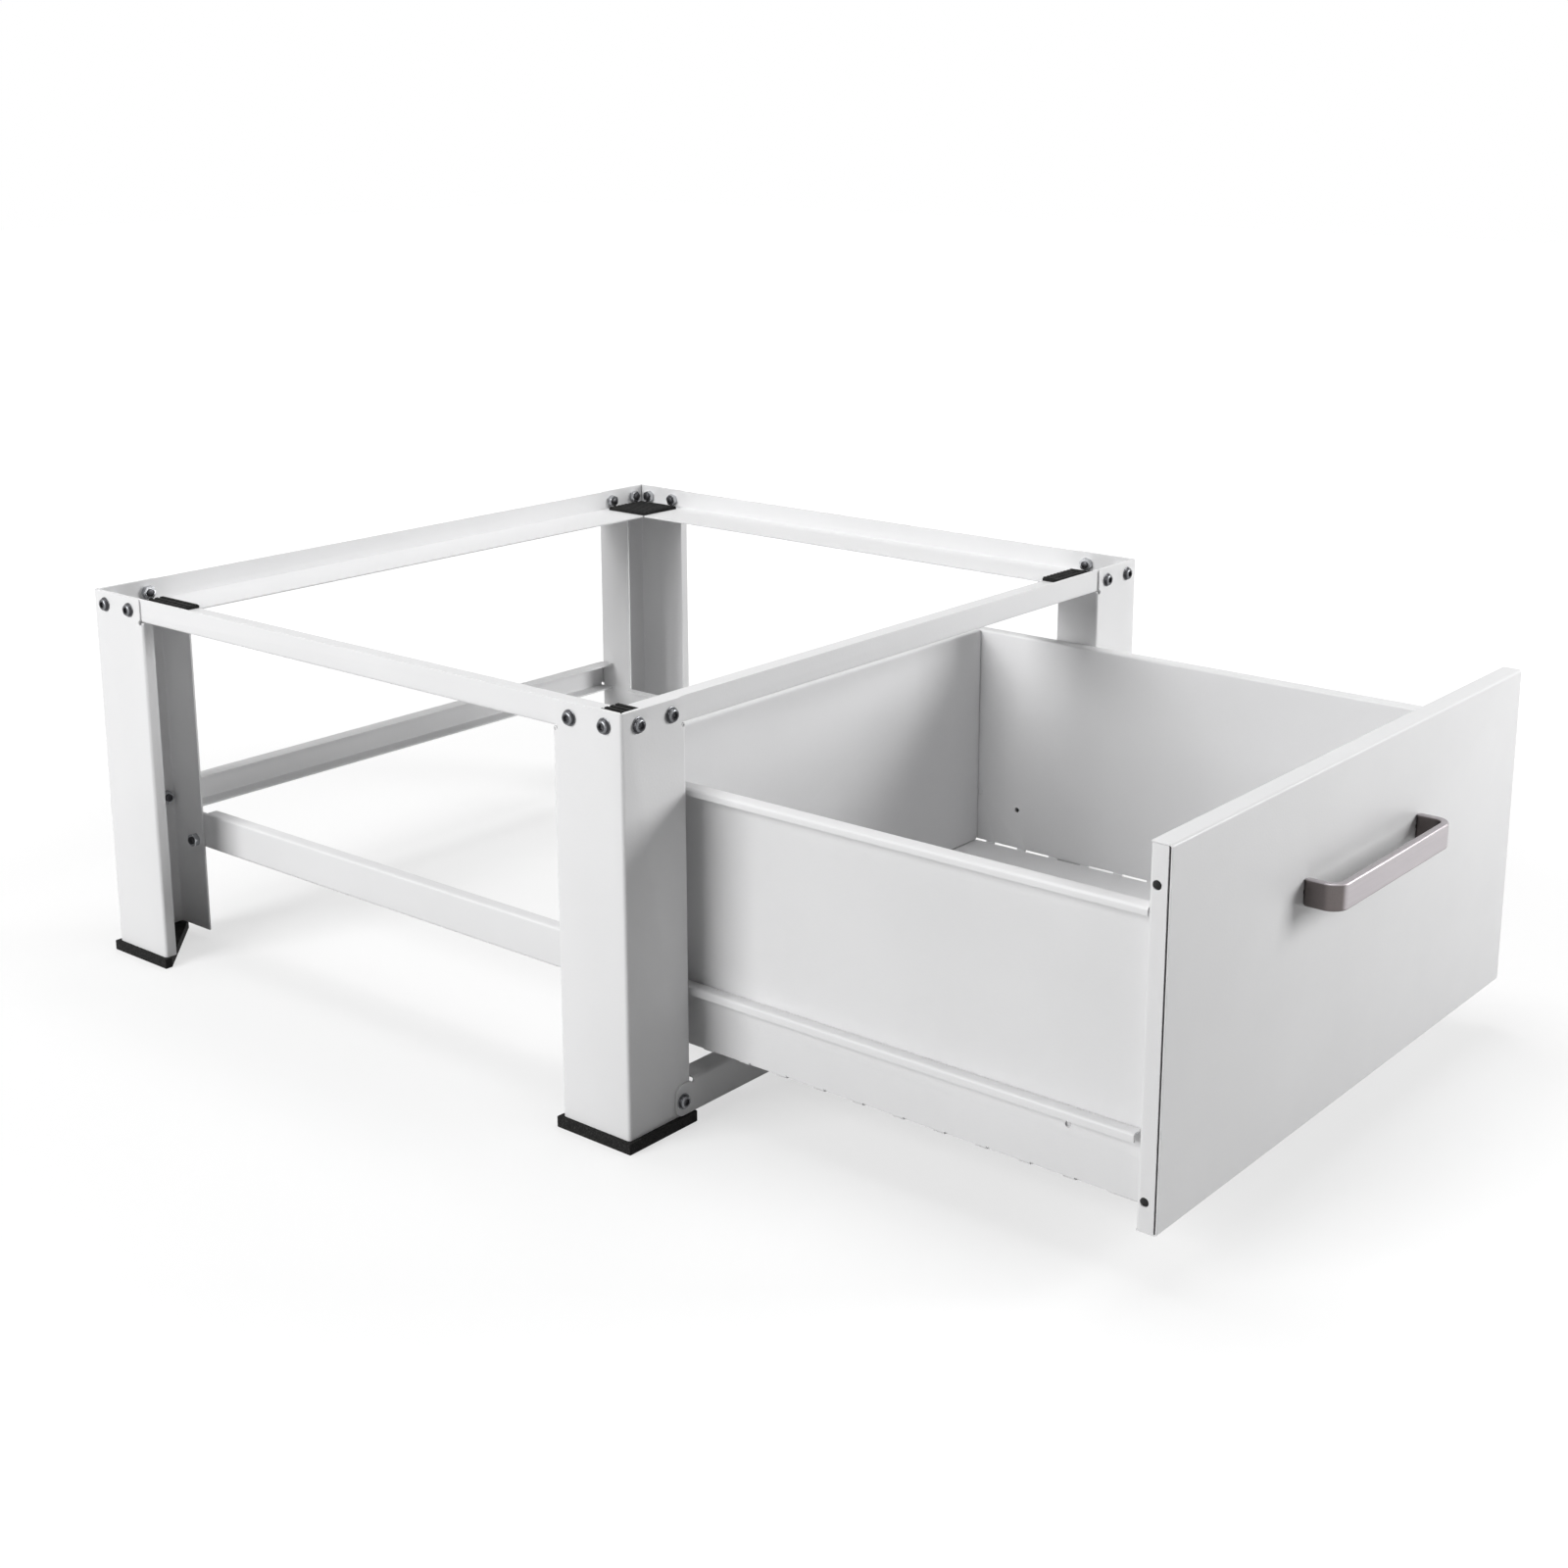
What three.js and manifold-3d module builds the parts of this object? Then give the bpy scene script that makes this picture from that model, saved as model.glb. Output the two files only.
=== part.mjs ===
// Washing machine pedestal with a pull-out drawer.
//
// Four folded corner legs carry a ring of angle rails that the machine stands on. Two channel rails
// between the legs guide a sheet-metal drawer on four small rollers, and a crossbar joins the legs at
// the front and at the rear. Every joint of the frame is one button-head bolt with its nut.
//
// Millimetres. +X is to the right and +Z is up. The drawer opens towards -Y and is modelled open.
// The frame is laid out around its own centre, and the finished group is moved along Y so that the
// origin lies on the floor under the middle of the whole object.

import * as THREE from 'three';
import { mergeVertices } from 'three/addons/utils/BufferGeometryUtils.js';
import Module from 'manifold-3d';

const wasm = await Module();
wasm.setup();

// ---------------------------------------------------------------------------------------------
// Driving dimensions
// ---------------------------------------------------------------------------------------------

// Overall frame
const FRAME_WIDTH = 620;
const FRAME_DEPTH = 570;
const FRAME_HEIGHT = 300;

// Legs
const LEG_SHEET = 1.5;
const LEG_FACE = 60; // front or rear flange, along X
const LEG_SIDE = 62; // side flange, along Y
const LEG_SIDE_LIP = 9.5;
const LEG_FACE_LIP = 38;
const LEG_BEND = 1;
const LEG_RELIEF = 2;
const LEG_CORNER = 3; // on the flanges' upper inner corners

// Feet
const FOOT_HEIGHT = 8;
const FOOT_OVERHANG = 3;
const FOOT_RIB_HEIGHT = 4.4;
const FOOT_RIB = 2.5;
const FOOT_RIB_END_GAP = 9.5; // from the ribs' ends to the leg's lips

// Top rails
const RAIL_SHEET = 1.5;
const TOP_RAIL_HEIGHT = 18.5;
const TOP_RAIL_SHELF = 55;
const RAIL_BEND = 0.8;
const MITRE_GAP = 0.8;

// Anti-slip pads on the top rails
const PAD_SIZE = 46;
const PAD_THICK = 3;
const PAD_INSET = 10.5;
const PAD_RIBS = 9;
const PAD_GROOVE_DEPTH = 0.8;
const PAD_RIB_SHARE = 0.6;

// Slide rails
const SLIDE_HEIGHT = 30;
const SLIDE_BOTTOM = 79;
const SLIDE_FLANGE = 10.1;
const SLIDE_END_GAP = 0.9;
const SLIDE_TAB = 26;
const SLIDE_BOLT_RISE = 5.6;
const SLIDE_BOLT_INSET = 12.5;
const TAB_CORNER = 6;

// Crossbars: the front one is an angle, the rear one a channel
const FRONT_BAR_HEIGHT = 24.7;
const FRONT_BAR_BOLT_RISE = 10.6;
const REAR_BAR_BOTTOM = 105.5;
const REAR_BAR_HEIGHT = 25;
const REAR_BAR_BOLT_RISE = 12;
const BAR_FLANGE = 16.4;
const BAR_TAB = 16;
const BAR_BOLT_INSET = 9.5;
const BAR_NOTCH = 1.6;
const BAR_FOOT_GAP = 0.3; // between the front crossbar and the feet

// Bolts and nuts
const BOLT_RADIUS = 3;
const BOLT_HOLE_PLAY = 0.3;
const HEAD_RADIUS = 5.6;
const HEAD_HEIGHT = 3.3;
const HEAD_RIM = 0.66; // upright, under the dome
const HEAD_RING = 1; // flat, round the socket
const SOCKET_RADIUS = 2.3;
const SOCKET_DEPTH = 2;
const NUT_RADIUS = 5.6;
const NUT_HEIGHT = 4.6;
const BOLT_TAIL = 1.4;
const TOP_BOLT_DROP = 10;
const TOP_BOLT_OUTER = 15;
const TOP_BOLT_INNER = 46;

// Drawer box
const DRAWER_SHEET = 1;
const SLIDE_SPACE = 12.4; // beside the drawer, for the slides
const REAR_SPACE = 89.9; // behind the drawer when it is shut
const DRAWER_BOTTOM = 48;
const DRAWER_DROP = 40; // from the drawer front's upper edge to the walls'
const DRAWER_BEND = 0.8;
const HEM_WIDTH = 11;
const HEM_LIP = 5;
const SLOT_PITCH = 32.1;
const SLOT_LENGTH = 23.7;
const SLOT_WIDTH = 2.2;
const SLOT_START = 11.4; // from the rear end of the sheet to the first slot's centre
const FRONT_TAB = 12;
const FRONT_TAB_GAP = 2.2; // between the floor's tab and the walls' tabs
const BACK_WALL_SETBACK = 14;
const BACK_WALL_FLANGE = 12;
const BACK_WALL_HEM = 8;

// Drawer front
const PANEL_SIDE_GAP = 2; // to the legs on both sides
const PANEL_THICK = 14;
const PANEL_BOTTOM = 37;
const PANEL_TOP_GAP = 5; // to the top rails
const PANEL_SHEET = 1;
const PANEL_BEND = 1;
const PANEL_SEAM = 1.3;
const PANEL_HOLE_RADIUS = 3;
const PANEL_HOLE_SETBACK = 5;
const PANEL_HOLE_LOW = 19.5;
const PANEL_HOLE_HIGH = 25.5;

// Handle
const HANDLE_LENGTH = 168;
const HANDLE_REACH = 25;
const HANDLE_HEIGHT = 18;
const HANDLE_THICK = 5.5;
const HANDLE_CORNER = 12;
const HANDLE_BEVEL = 1.1;
const HANDLE_RISE = 164.5; // from the lower edge of the drawer front to the handle's middle
const HANDLE_SCREW_RADIUS = 2;
const HANDLE_SCREW_BITE = 9;
const SCREW_HEAD_RADIUS = 4;
const SCREW_HEAD_HEIGHT = 2.2;
const SCREW_HEAD_RIM = 1.1;
const SCREW_CROWN_RADIUS = 2.8;
const SCREW_RECESS_ARM = 2.2;
const SCREW_RECESS_WIDTH = 0.96;
const SCREW_RECESS_DEPTH = 1.1;
const SCREW_END_GAP = 0.3; // beyond a screw's end in its bore

// Drawer runners and rollers
const RUNNER_SHEET = 1.2;
const RUNNER_TOP = 96.5;
const RUNNER_HEIGHT = 19;
const RUNNER_LIP = 5.8;
const RUNNER_BEND = 0.5;
const RUNNER_PLAY = 1.1; // beside the slide rail's web and flanges
const RUNNER_FRONT_GAP = 4;
const RUNNER_HOLE_RADIUS = 2.2;
const RUNNER_HOLE_INSET = 54;
const RUNNER_HOLE_DROP = 12.5;
const RUNNER_OPEN_GAP = 2.5; // between the hook's end and the rear roller
const REAR_ROLLER_RADIUS = 12;
const REAR_ROLLER_INSET = 16;
const REAR_ROLLER_WIDTH = 6.6;
const REAR_AXLE_RADIUS = 2.4;
const FRONT_ROLLER_SETBACK = 30; // from the slide rail's front end
const FRONT_ROLLER_LIFT = 0.5;
const FRONT_ROLLER_WIDTH = 5;
const FRONT_AXLE_RADIUS = 1.9;
const AXLE_SHOULDER = 0.4;
const ROLLER_SIDE_GAP = 0.7;
const AXLE_HEAD_RADIUS = 4;
const AXLE_HEAD = 0.7;
const AXLE_HOLE_PLAY = 0.3; // round the rear axle in the drawer's wall
const ROLLER_CHAMFER = 0.8;

// Running and seating clearances
const SEAT = 0.1; // between sheets that are bolted or welded face to face
const ROLL_GAP = 0.3; // under and over a roller
const BORE_PLAY = 0.15;
const CLOSED_GAP = 0.5; // between the drawer front and the slide rails when the drawer is shut

// How near the drawer's rear rollers stand to the front ones, as the drawer is modelled
const ROLLER_SPACING = 58.6;

// How far a cutting tool runs past the faces that it cuts, and how deep joined forms overlap
const OVERCUT = 1;

// Fineness of round forms
const BEND_STEPS = 3;
const DOME_STEPS = 2;
const HOLE_SIDES = 12;
const BOLT_SIDES = 12;
const ROLLER_SIDES = 24;
const ARC_STEPS = 5;

// ---------------------------------------------------------------------------------------------
// Places that several pieces share
// ---------------------------------------------------------------------------------------------

const HALF_WIDTH = FRAME_WIDTH / 2;
const HALF_DEPTH = FRAME_DEPTH / 2;
const BOLT_HOLE = BOLT_RADIUS + BOLT_HOLE_PLAY;

const RAIL_OUT_X = HALF_WIDTH - LEG_SHEET - SEAT; // outer face of the left and right top rails
const RAIL_OUT_Y = HALF_DEPTH - LEG_SHEET - SEAT; // outer face of the front and rear top rails
const SHELF_BOTTOM = FRAME_HEIGHT - TOP_RAIL_HEIGHT;
const SHELF_TOP = SHELF_BOTTOM + RAIL_SHEET;
const TOP_BOLT_Z = FRAME_HEIGHT - TOP_BOLT_DROP;

const BAY_HALF = HALF_WIDTH - LEG_FACE; // inboard face of the legs' wide lips
const SLIDE_OUT_X = BAY_HALF - SEAT;
const SLIDE_IN_X = SLIDE_OUT_X - RAIL_SHEET;
const SLIDE_TIP_X = SLIDE_OUT_X - SLIDE_FLANGE;
const SLIDE_FRONT = -(HALF_DEPTH - PANEL_THICK - CLOSED_GAP);
const BAR_OUT_Y = HALF_DEPTH + SEAT + RAIL_SHEET; // outer face of the crossbars
const SLIDE_REAR = BAR_OUT_Y - BAR_FLANGE - SLIDE_END_GAP;
const SLIDE_TREAD = SLIDE_BOTTOM + RAIL_SHEET; // top face of the lower flange
const SLIDE_BOLT_Z = SLIDE_BOTTOM + SLIDE_BOLT_RISE;
const FRONT_BAR_BOTTOM = FOOT_HEIGHT + BAR_FOOT_GAP;
const BAR_BOLT_X = BAY_HALF + BAR_BOLT_INSET;

const WALL_OUT_X = SLIDE_OUT_X - SLIDE_SPACE;
const WALL_IN_X = WALL_OUT_X - DRAWER_SHEET;
const FRONT_ROLLER_Y = SLIDE_FRONT + FRONT_ROLLER_SETBACK;
const REAR_ROLLER_SHUT_Y = HALF_DEPTH - REAR_SPACE - REAR_ROLLER_INSET;
const DRAWER_OPEN = REAR_ROLLER_SHUT_Y - FRONT_ROLLER_Y - ROLLER_SPACING;
const PANEL_HALF = BAY_HALF - PANEL_SIDE_GAP;
const PANEL_TOP = SHELF_BOTTOM - PANEL_TOP_GAP;
const DRAWER_TOP = PANEL_TOP - DRAWER_DROP;
const PANEL_FRONT = -HALF_DEPTH - DRAWER_OPEN;
const PANEL_REAR = PANEL_FRONT + PANEL_THICK;
const TRAY_FRONT = PANEL_REAR + SEAT;
const TRAY_REAR = HALF_DEPTH - REAR_SPACE - DRAWER_OPEN;
const BACK_WALL_REAR = TRAY_REAR - BACK_WALL_SETBACK + DRAWER_SHEET;
const TRAY_FLOOR = DRAWER_BOTTOM + DRAWER_SHEET;

const RUNNER_IN_X = WALL_OUT_X + SEAT;
const RUNNER_WEB_X = RUNNER_IN_X + RUNNER_SHEET;
const RUNNER_OUT_X = SLIDE_IN_X - RUNNER_PLAY;
const RUNNER_UNDERSIDE = RUNNER_TOP - RUNNER_SHEET;
const REAR_ROLLER_Y = TRAY_REAR - REAR_ROLLER_INSET;
const REAR_ROLLER_Z = SLIDE_TREAD + ROLL_GAP + REAR_ROLLER_RADIUS;
const FRONT_ROLLER_TOP = RUNNER_UNDERSIDE - ROLL_GAP;
const FRONT_ROLLER_BASE = SLIDE_TREAD + FRONT_ROLLER_LIFT;
const FRONT_ROLLER_RADIUS = (FRONT_ROLLER_TOP - FRONT_ROLLER_BASE) / 2;
const FRONT_ROLLER_Z = FRONT_ROLLER_BASE + FRONT_ROLLER_RADIUS;
const HANDLE_Z = PANEL_BOTTOM + HANDLE_RISE;
const HANDLE_SCREW_X = (HANDLE_LENGTH - HANDLE_THICK) / 2;

// ---------------------------------------------------------------------------------------------
// Finishes
// ---------------------------------------------------------------------------------------------

const finish = (color, roughness, metalness) =>
  new THREE.MeshStandardMaterial({ color, roughness, metalness });

const FINISH = {
  frame: () => finish(0xe6e7e8, 0.45, 0),
  drawer: () => finish(0xdcdcdd, 0.45, 0),
  rubber: () => finish(0x161616, 0.85, 0),
  bolt: () => finish(0xb9bcc0, 0.25, 1),
  handle: () => finish(0xa29b98, 0.38, 1),
  roller: () => finish(0xf2f2ee, 0.5, 0),
};

// ---------------------------------------------------------------------------------------------
// Solids: closed geometries, joined and cut
// ---------------------------------------------------------------------------------------------

function toSolid(geometry) {
  const bare = new THREE.BufferGeometry();
  bare.setAttribute('position', geometry.getAttribute('position').clone());
  if (geometry.index) bare.setIndex(geometry.index.clone());
  const merged = mergeVertices(bare, 1e-4);
  return new wasm.Manifold(new wasm.Mesh({
    numProp: 3,
    vertProperties: new Float32Array(merged.getAttribute('position').array),
    triVerts: new Uint32Array(merged.index.array),
  }));
}

function toGeometry(solid) {
  const mesh = solid.getMesh();
  const geometry = new THREE.BufferGeometry();
  const places = new Float32Array(mesh.vertProperties);
  geometry.setAttribute('position', new THREE.BufferAttribute(places, mesh.numProp));
  geometry.setIndex(new THREE.BufferAttribute(new Uint32Array(mesh.triVerts), 1));
  return geometry;
}

function cut(body, tools) {
  return toGeometry(tools.reduce((rest, tool) => rest.subtract(toSolid(tool)), toSolid(body)));
}

function join(bodies) {
  const [first, ...others] = bodies.map(toSolid);
  return toGeometry(others.reduce((whole, next) => whole.add(next), first));
}

// A box between two opposite corners, given in any order.
function block(a, b) {
  const low = new THREE.Vector3(...a).min(new THREE.Vector3(...b));
  const high = new THREE.Vector3(...a).max(new THREE.Vector3(...b));
  const size = high.clone().sub(low);
  const middle = high.add(low).divideScalar(2);
  return new THREE.BoxGeometry(size.x, size.y, size.z).translate(middle.x, middle.y, middle.z);
}

// Turns a geometry made along Z so that it lies along the named axis.
// Along X its first two axes become Y and Z. Along Y they become X and Z, and it runs back to front.
const BASIS = {
  x: new THREE.Matrix4().set(0, 0, 1, 0, 1, 0, 0, 0, 0, 1, 0, 0, 0, 0, 0, 1),
  y: new THREE.Matrix4().set(1, 0, 0, 0, 0, 0, -1, 0, 0, 1, 0, 0, 0, 0, 0, 1),
  z: new THREE.Matrix4(),
};

// A round or many-sided bar along an axis, from its middle, half its length each way.
function bar(axis, radius, length, middle, sides = HOLE_SIDES, radiusEnd = radius) {
  const geometry = new THREE.CylinderGeometry(radiusEnd, radius, length, sides);
  geometry.rotateX(Math.PI / 2);
  geometry.applyMatrix4(BASIS[axis]);
  return geometry.translate(...middle);
}

// An outline extruded along an axis between two places on it.
function extrude(axis, outline, from, to) {
  const depth = to - from;
  const shape = new THREE.Shape(outline.map(([u, v]) => new THREE.Vector2(u, v)));
  const geometry = new THREE.ExtrudeGeometry(shape, { depth, bevelEnabled: false });
  geometry.applyMatrix4(BASIS[axis]);
  const shift = { x: [from, 0, 0], y: [0, to, 0], z: [0, 0, from] }[axis];
  return geometry.translate(...shift);
}

// The outline of a folded sheet. The path runs along one face with sharp corners, and the material
// lies to its left. Each fold gets the inner radius, and both faces stay parallel.
function foldedSheet(path, thickness, innerRadius) {
  const points = path.map(([u, v]) => new THREE.Vector2(u, v));
  const directions = points.slice(1).map((point, i) => point.clone().sub(points[i]).normalize());
  const leftOf = (d) => new THREE.Vector2(-d.y, d.x);
  const face = [];
  const back = [];
  const add = (place, normal) => {
    face.push([place.x, place.y]);
    back.push([place.x + normal.x * thickness, place.y + normal.y * thickness]);
  };
  add(points[0], leftOf(directions[0]));
  for (let i = 1; i < directions.length; i += 1) {
    const before = directions[i - 1];
    const after = directions[i];
    const turn = Math.asin(before.cross(after));
    const faceRadius = turn > 0 ? innerRadius + thickness : innerRadius;
    const setback = faceRadius * Math.tan(Math.abs(turn) / 2);
    const side = Math.sign(turn);
    const start = points[i].clone().addScaledVector(before, -setback);
    const centre = start.clone().addScaledVector(leftOf(before), side * faceRadius);
    for (let step = 0; step <= BEND_STEPS; step += 1) {
      const normal = leftOf(before).rotateAround(new THREE.Vector2(), turn * step / BEND_STEPS);
      add(centre.clone().addScaledVector(normal, -side * faceRadius), normal);
    }
  }
  add(points[points.length - 1], leftOf(directions[directions.length - 1]));
  return face.concat(back.reverse());
}

const mirrorOutline = (outline, signU, signV) => outline.map(([u, v]) => [u * signU, v * signV]);

// ---------------------------------------------------------------------------------------------
// Frame
// ---------------------------------------------------------------------------------------------

// A corner leg about its outer corner on the floor. signX and signY point from the corner outwards.
// Its lips end under the top rails' shelves, and round reliefs lie where its folds end.
function legGeometry(signX, signY) {
  const outline = foldedSheet([
    [LEG_SIDE_LIP, LEG_SIDE],
    [0, LEG_SIDE],
    [0, 0],
    [LEG_FACE, 0],
    [LEG_FACE, LEG_FACE_LIP],
  ], LEG_SHEET, LEG_BEND);
  const body = extrude('z', mirrorOutline(outline, -signX, -signY), FOOT_HEIGHT, FRAME_HEIGHT);
  const lipTop = SHELF_BOTTOM - SEAT;
  const inward = (x, y) => [-signX * x, -signY * y];
  const notch = (near, far) => block(
    [...inward(...near), lipTop],
    [...inward(...far), FRAME_HEIGHT + OVERCUT],
  );
  const foldDepth = LEG_SHEET + LEG_BEND;
  const sideEnd = LEG_SIDE - foldDepth;
  const faceEnd = LEG_FACE - foldDepth;
  const corner = (axis, across, toCorner) => roundedCorner(
    axis, [...inward(...across), FRAME_HEIGHT], toCorner, -1, LEG_CORNER, 2 * LEG_SHEET,
  );
  const tools = [
    notch([-OVERCUT, sideEnd], [LEG_SIDE_LIP + OVERCUT, LEG_SIDE + OVERCUT]),
    notch([faceEnd, -OVERCUT], [LEG_FACE + OVERCUT, LEG_FACE_LIP + OVERCUT]),
    bar('x', LEG_RELIEF, 2 * LEG_SHEET, [...inward(0, sideEnd), lipTop]),
    bar('y', LEG_RELIEF, 2 * LEG_SHEET, [...inward(faceEnd, 0), lipTop]),
    corner('x', [0, sideEnd], signY),
    corner('y', [faceEnd, 0], signX),
  ];
  for (const along of [TOP_BOLT_OUTER, TOP_BOLT_INNER]) {
    tools.push(bar('x', BOLT_HOLE, 3 * LEG_SHEET, [...inward(0, along), TOP_BOLT_Z]));
    tools.push(bar('y', BOLT_HOLE, 3 * LEG_SHEET, [...inward(along, 0), TOP_BOLT_Z]));
  }
  const barBoltAlong = HALF_WIDTH - BAR_BOLT_X;
  tools.push(bar('y', BOLT_HOLE, 3 * LEG_SHEET, [...inward(barBoltAlong, 0), barBoltZ(signY)]));
  const slideY = HALF_DEPTH - Math.abs(slideBoltY(signY));
  tools.push(bar('x', BOLT_HOLE, 4 * LEG_SHEET, [...inward(LEG_FACE, slideY), SLIDE_BOLT_Z]));
  return cut(body, tools);
}

// A black plastic foot: a three-cornered plate under the leg with ribs inside its flanges.
function footGeometry(signX, signY) {
  const out = FOOT_OVERHANG;
  const plate = [
    [-out, -out],
    [LEG_FACE + out, -out],
    [LEG_FACE + out, out],
    [out, LEG_SIDE + out],
    [-out, LEG_SIDE + out],
  ];
  const inner = LEG_SHEET + SEAT;
  const ribEnd = LEG_SIDE - inner - FOOT_RIB_END_GAP;
  const rib = foldedSheet([
    [inner, ribEnd],
    [inner, inner],
    [LEG_FACE - inner - FOOT_RIB_END_GAP, inner],
  ], FOOT_RIB, LEG_BEND);
  return join([
    extrude('z', mirrorOutline(plate, -signX, -signY), 0, FOOT_HEIGHT),
    extrude(
      'z', mirrorOutline(rib, -signX, -signY), FOOT_HEIGHT - OVERCUT, FOOT_HEIGHT + FOOT_RIB_HEIGHT,
    ),
  ]);
}

// An angle rail along X or Y, about the frame's middle. sign says on which side it lies. Its upright
// flange stands against the legs, its shelf points inwards, and both ends are mitred.
function topRailGeometry(axis, sign) {
  const out = axis === 'x' ? RAIL_OUT_Y : RAIL_OUT_X;
  const halfLength = (axis === 'x' ? RAIL_OUT_X : RAIL_OUT_Y) - MITRE_GAP;
  const outline = foldedSheet([
    [out, FRAME_HEIGHT],
    [out, SHELF_BOTTOM],
    [out - TOP_RAIL_SHELF, SHELF_BOTTOM],
  ].reverse(), RAIL_SHEET, RAIL_BEND);
  const body = extrude(axis, mirrorOutline(outline, sign, 1), -halfLength, halfLength);
  const reach = out - TOP_RAIL_SHELF - OVERCUT;
  const shortEnd = halfLength - (out - reach);
  const past = halfLength + OVERCUT;
  const wedge = [[out, halfLength], [reach, shortEnd], [reach, past], [out, past]];
  const tools = [];
  for (const end of [-1, 1]) {
    const plan = wedge.map(([across, along]) => (axis === 'x'
      ? [along * end, across * sign]
      : [across * sign, along * end]));
    tools.push(extrude('z', plan, SHELF_BOTTOM - OVERCUT, FRAME_HEIGHT + OVERCUT));
    for (const inset of [TOP_BOLT_OUTER, TOP_BOLT_INNER]) {
      const cross = axis === 'x' ? 'y' : 'x';
      const along = end * ((axis === 'x' ? HALF_WIDTH : HALF_DEPTH) - inset);
      const middle = axis === 'x' ? [along, sign * out, TOP_BOLT_Z] : [sign * out, along, TOP_BOLT_Z];
      tools.push(bar(cross, BOLT_HOLE, 4 * RAIL_SHEET, middle));
    }
  }
  return cut(body, tools);
}

// A ribbed anti-slip pad, square, with its ribs along Y. It lies about its own middle.
function padGeometry() {
  const half = PAD_SIZE / 2;
  const pitch = PAD_SIZE / PAD_RIBS;
  const ribHalf = pitch * PAD_RIB_SHARE / 2;
  const outline = [[half, 0], [half, PAD_THICK - PAD_GROOVE_DEPTH]];
  for (let i = PAD_RIBS - 1; i >= 0; i -= 1) {
    const middle = -half + (i + 0.5) * pitch;
    outline.push([middle + ribHalf, PAD_THICK - PAD_GROOVE_DEPTH]);
    outline.push([middle + ribHalf, PAD_THICK]);
    outline.push([middle - ribHalf, PAD_THICK]);
    outline.push([middle - ribHalf, PAD_THICK - PAD_GROOVE_DEPTH]);
  }
  outline.push([-half, PAD_THICK - PAD_GROOVE_DEPTH], [-half, 0]);
  return extrude('y', outline, -half, half);
}

function slideBoltY(signY) {
  const end = signY < 0 ? SLIDE_FRONT : SLIDE_REAR;
  return end - signY * SLIDE_BOLT_INSET;
}

// The waste beyond a quarter-round corner. The corner is at the origin of its two directions.
function roundedCorner(axis, corner, inwardU, inwardV, radius, halfThick) {
  const past = [-OVERCUT * inwardU, -OVERCUT * inwardV];
  const outline = [past, [radius * inwardU, past[1]]];
  for (let step = 0; step <= ARC_STEPS; step += 1) {
    const angle = Math.PI / 2 * step / ARC_STEPS;
    outline.push([
      inwardU * radius * (1 - Math.sin(angle)),
      inwardV * radius * (1 - Math.cos(angle)),
    ]);
  }
  outline.push([past[0], inwardV * radius]);
  return extrude(axis, outline, -halfThick, halfThick).translate(...corner);
}

// A channel rail on the legs' wide lips, open towards the drawer, in the frame's own place.
function slideRailGeometry(sign) {
  const outline = foldedSheet([
    [SLIDE_TIP_X, SLIDE_BOTTOM],
    [SLIDE_OUT_X, SLIDE_BOTTOM],
    [SLIDE_OUT_X, SLIDE_BOTTOM + SLIDE_HEIGHT],
    [SLIDE_TIP_X, SLIDE_BOTTOM + SLIDE_HEIGHT],
  ], RAIL_SHEET, RAIL_BEND);
  const body = extrude('y', mirrorOutline(outline, sign, 1), SLIDE_FRONT, SLIDE_REAR);
  const tools = [bar('x', FRONT_AXLE_RADIUS + BORE_PLAY, 4 * RAIL_SHEET, [
    sign * SLIDE_IN_X, FRONT_ROLLER_Y, FRONT_ROLLER_Z,
  ])];
  for (const end of [-1, 1]) {
    const tip = end < 0 ? SLIDE_FRONT : SLIDE_REAR;
    const tabRoot = tip - end * SLIDE_TAB;
    tools.push(block(
      [sign * (SLIDE_TIP_X - OVERCUT), tip + end * OVERCUT, SLIDE_BOTTOM - OVERCUT],
      [sign * SLIDE_IN_X, tabRoot, SLIDE_BOTTOM + SLIDE_HEIGHT + OVERCUT],
    ));
    const boltPlace = [sign * SLIDE_IN_X, slideBoltY(end), SLIDE_BOLT_Z];
    tools.push(bar('x', BOLT_HOLE, 4 * RAIL_SHEET, boltPlace));
    for (const [z, up] of [[SLIDE_BOTTOM, 1], [SLIDE_BOTTOM + SLIDE_HEIGHT, -1]]) {
      const corner = [sign * SLIDE_IN_X, tip, z];
      tools.push(roundedCorner('x', corner, -end, up, TAB_CORNER, 2 * RAIL_SHEET));
    }
  }
  return cut(body, tools);
}

function barBoltZ(signY) {
  return signY < 0
    ? FRONT_BAR_BOTTOM + FRONT_BAR_BOLT_RISE
    : REAR_BAR_BOTTOM + REAR_BAR_BOLT_RISE;
}

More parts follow.
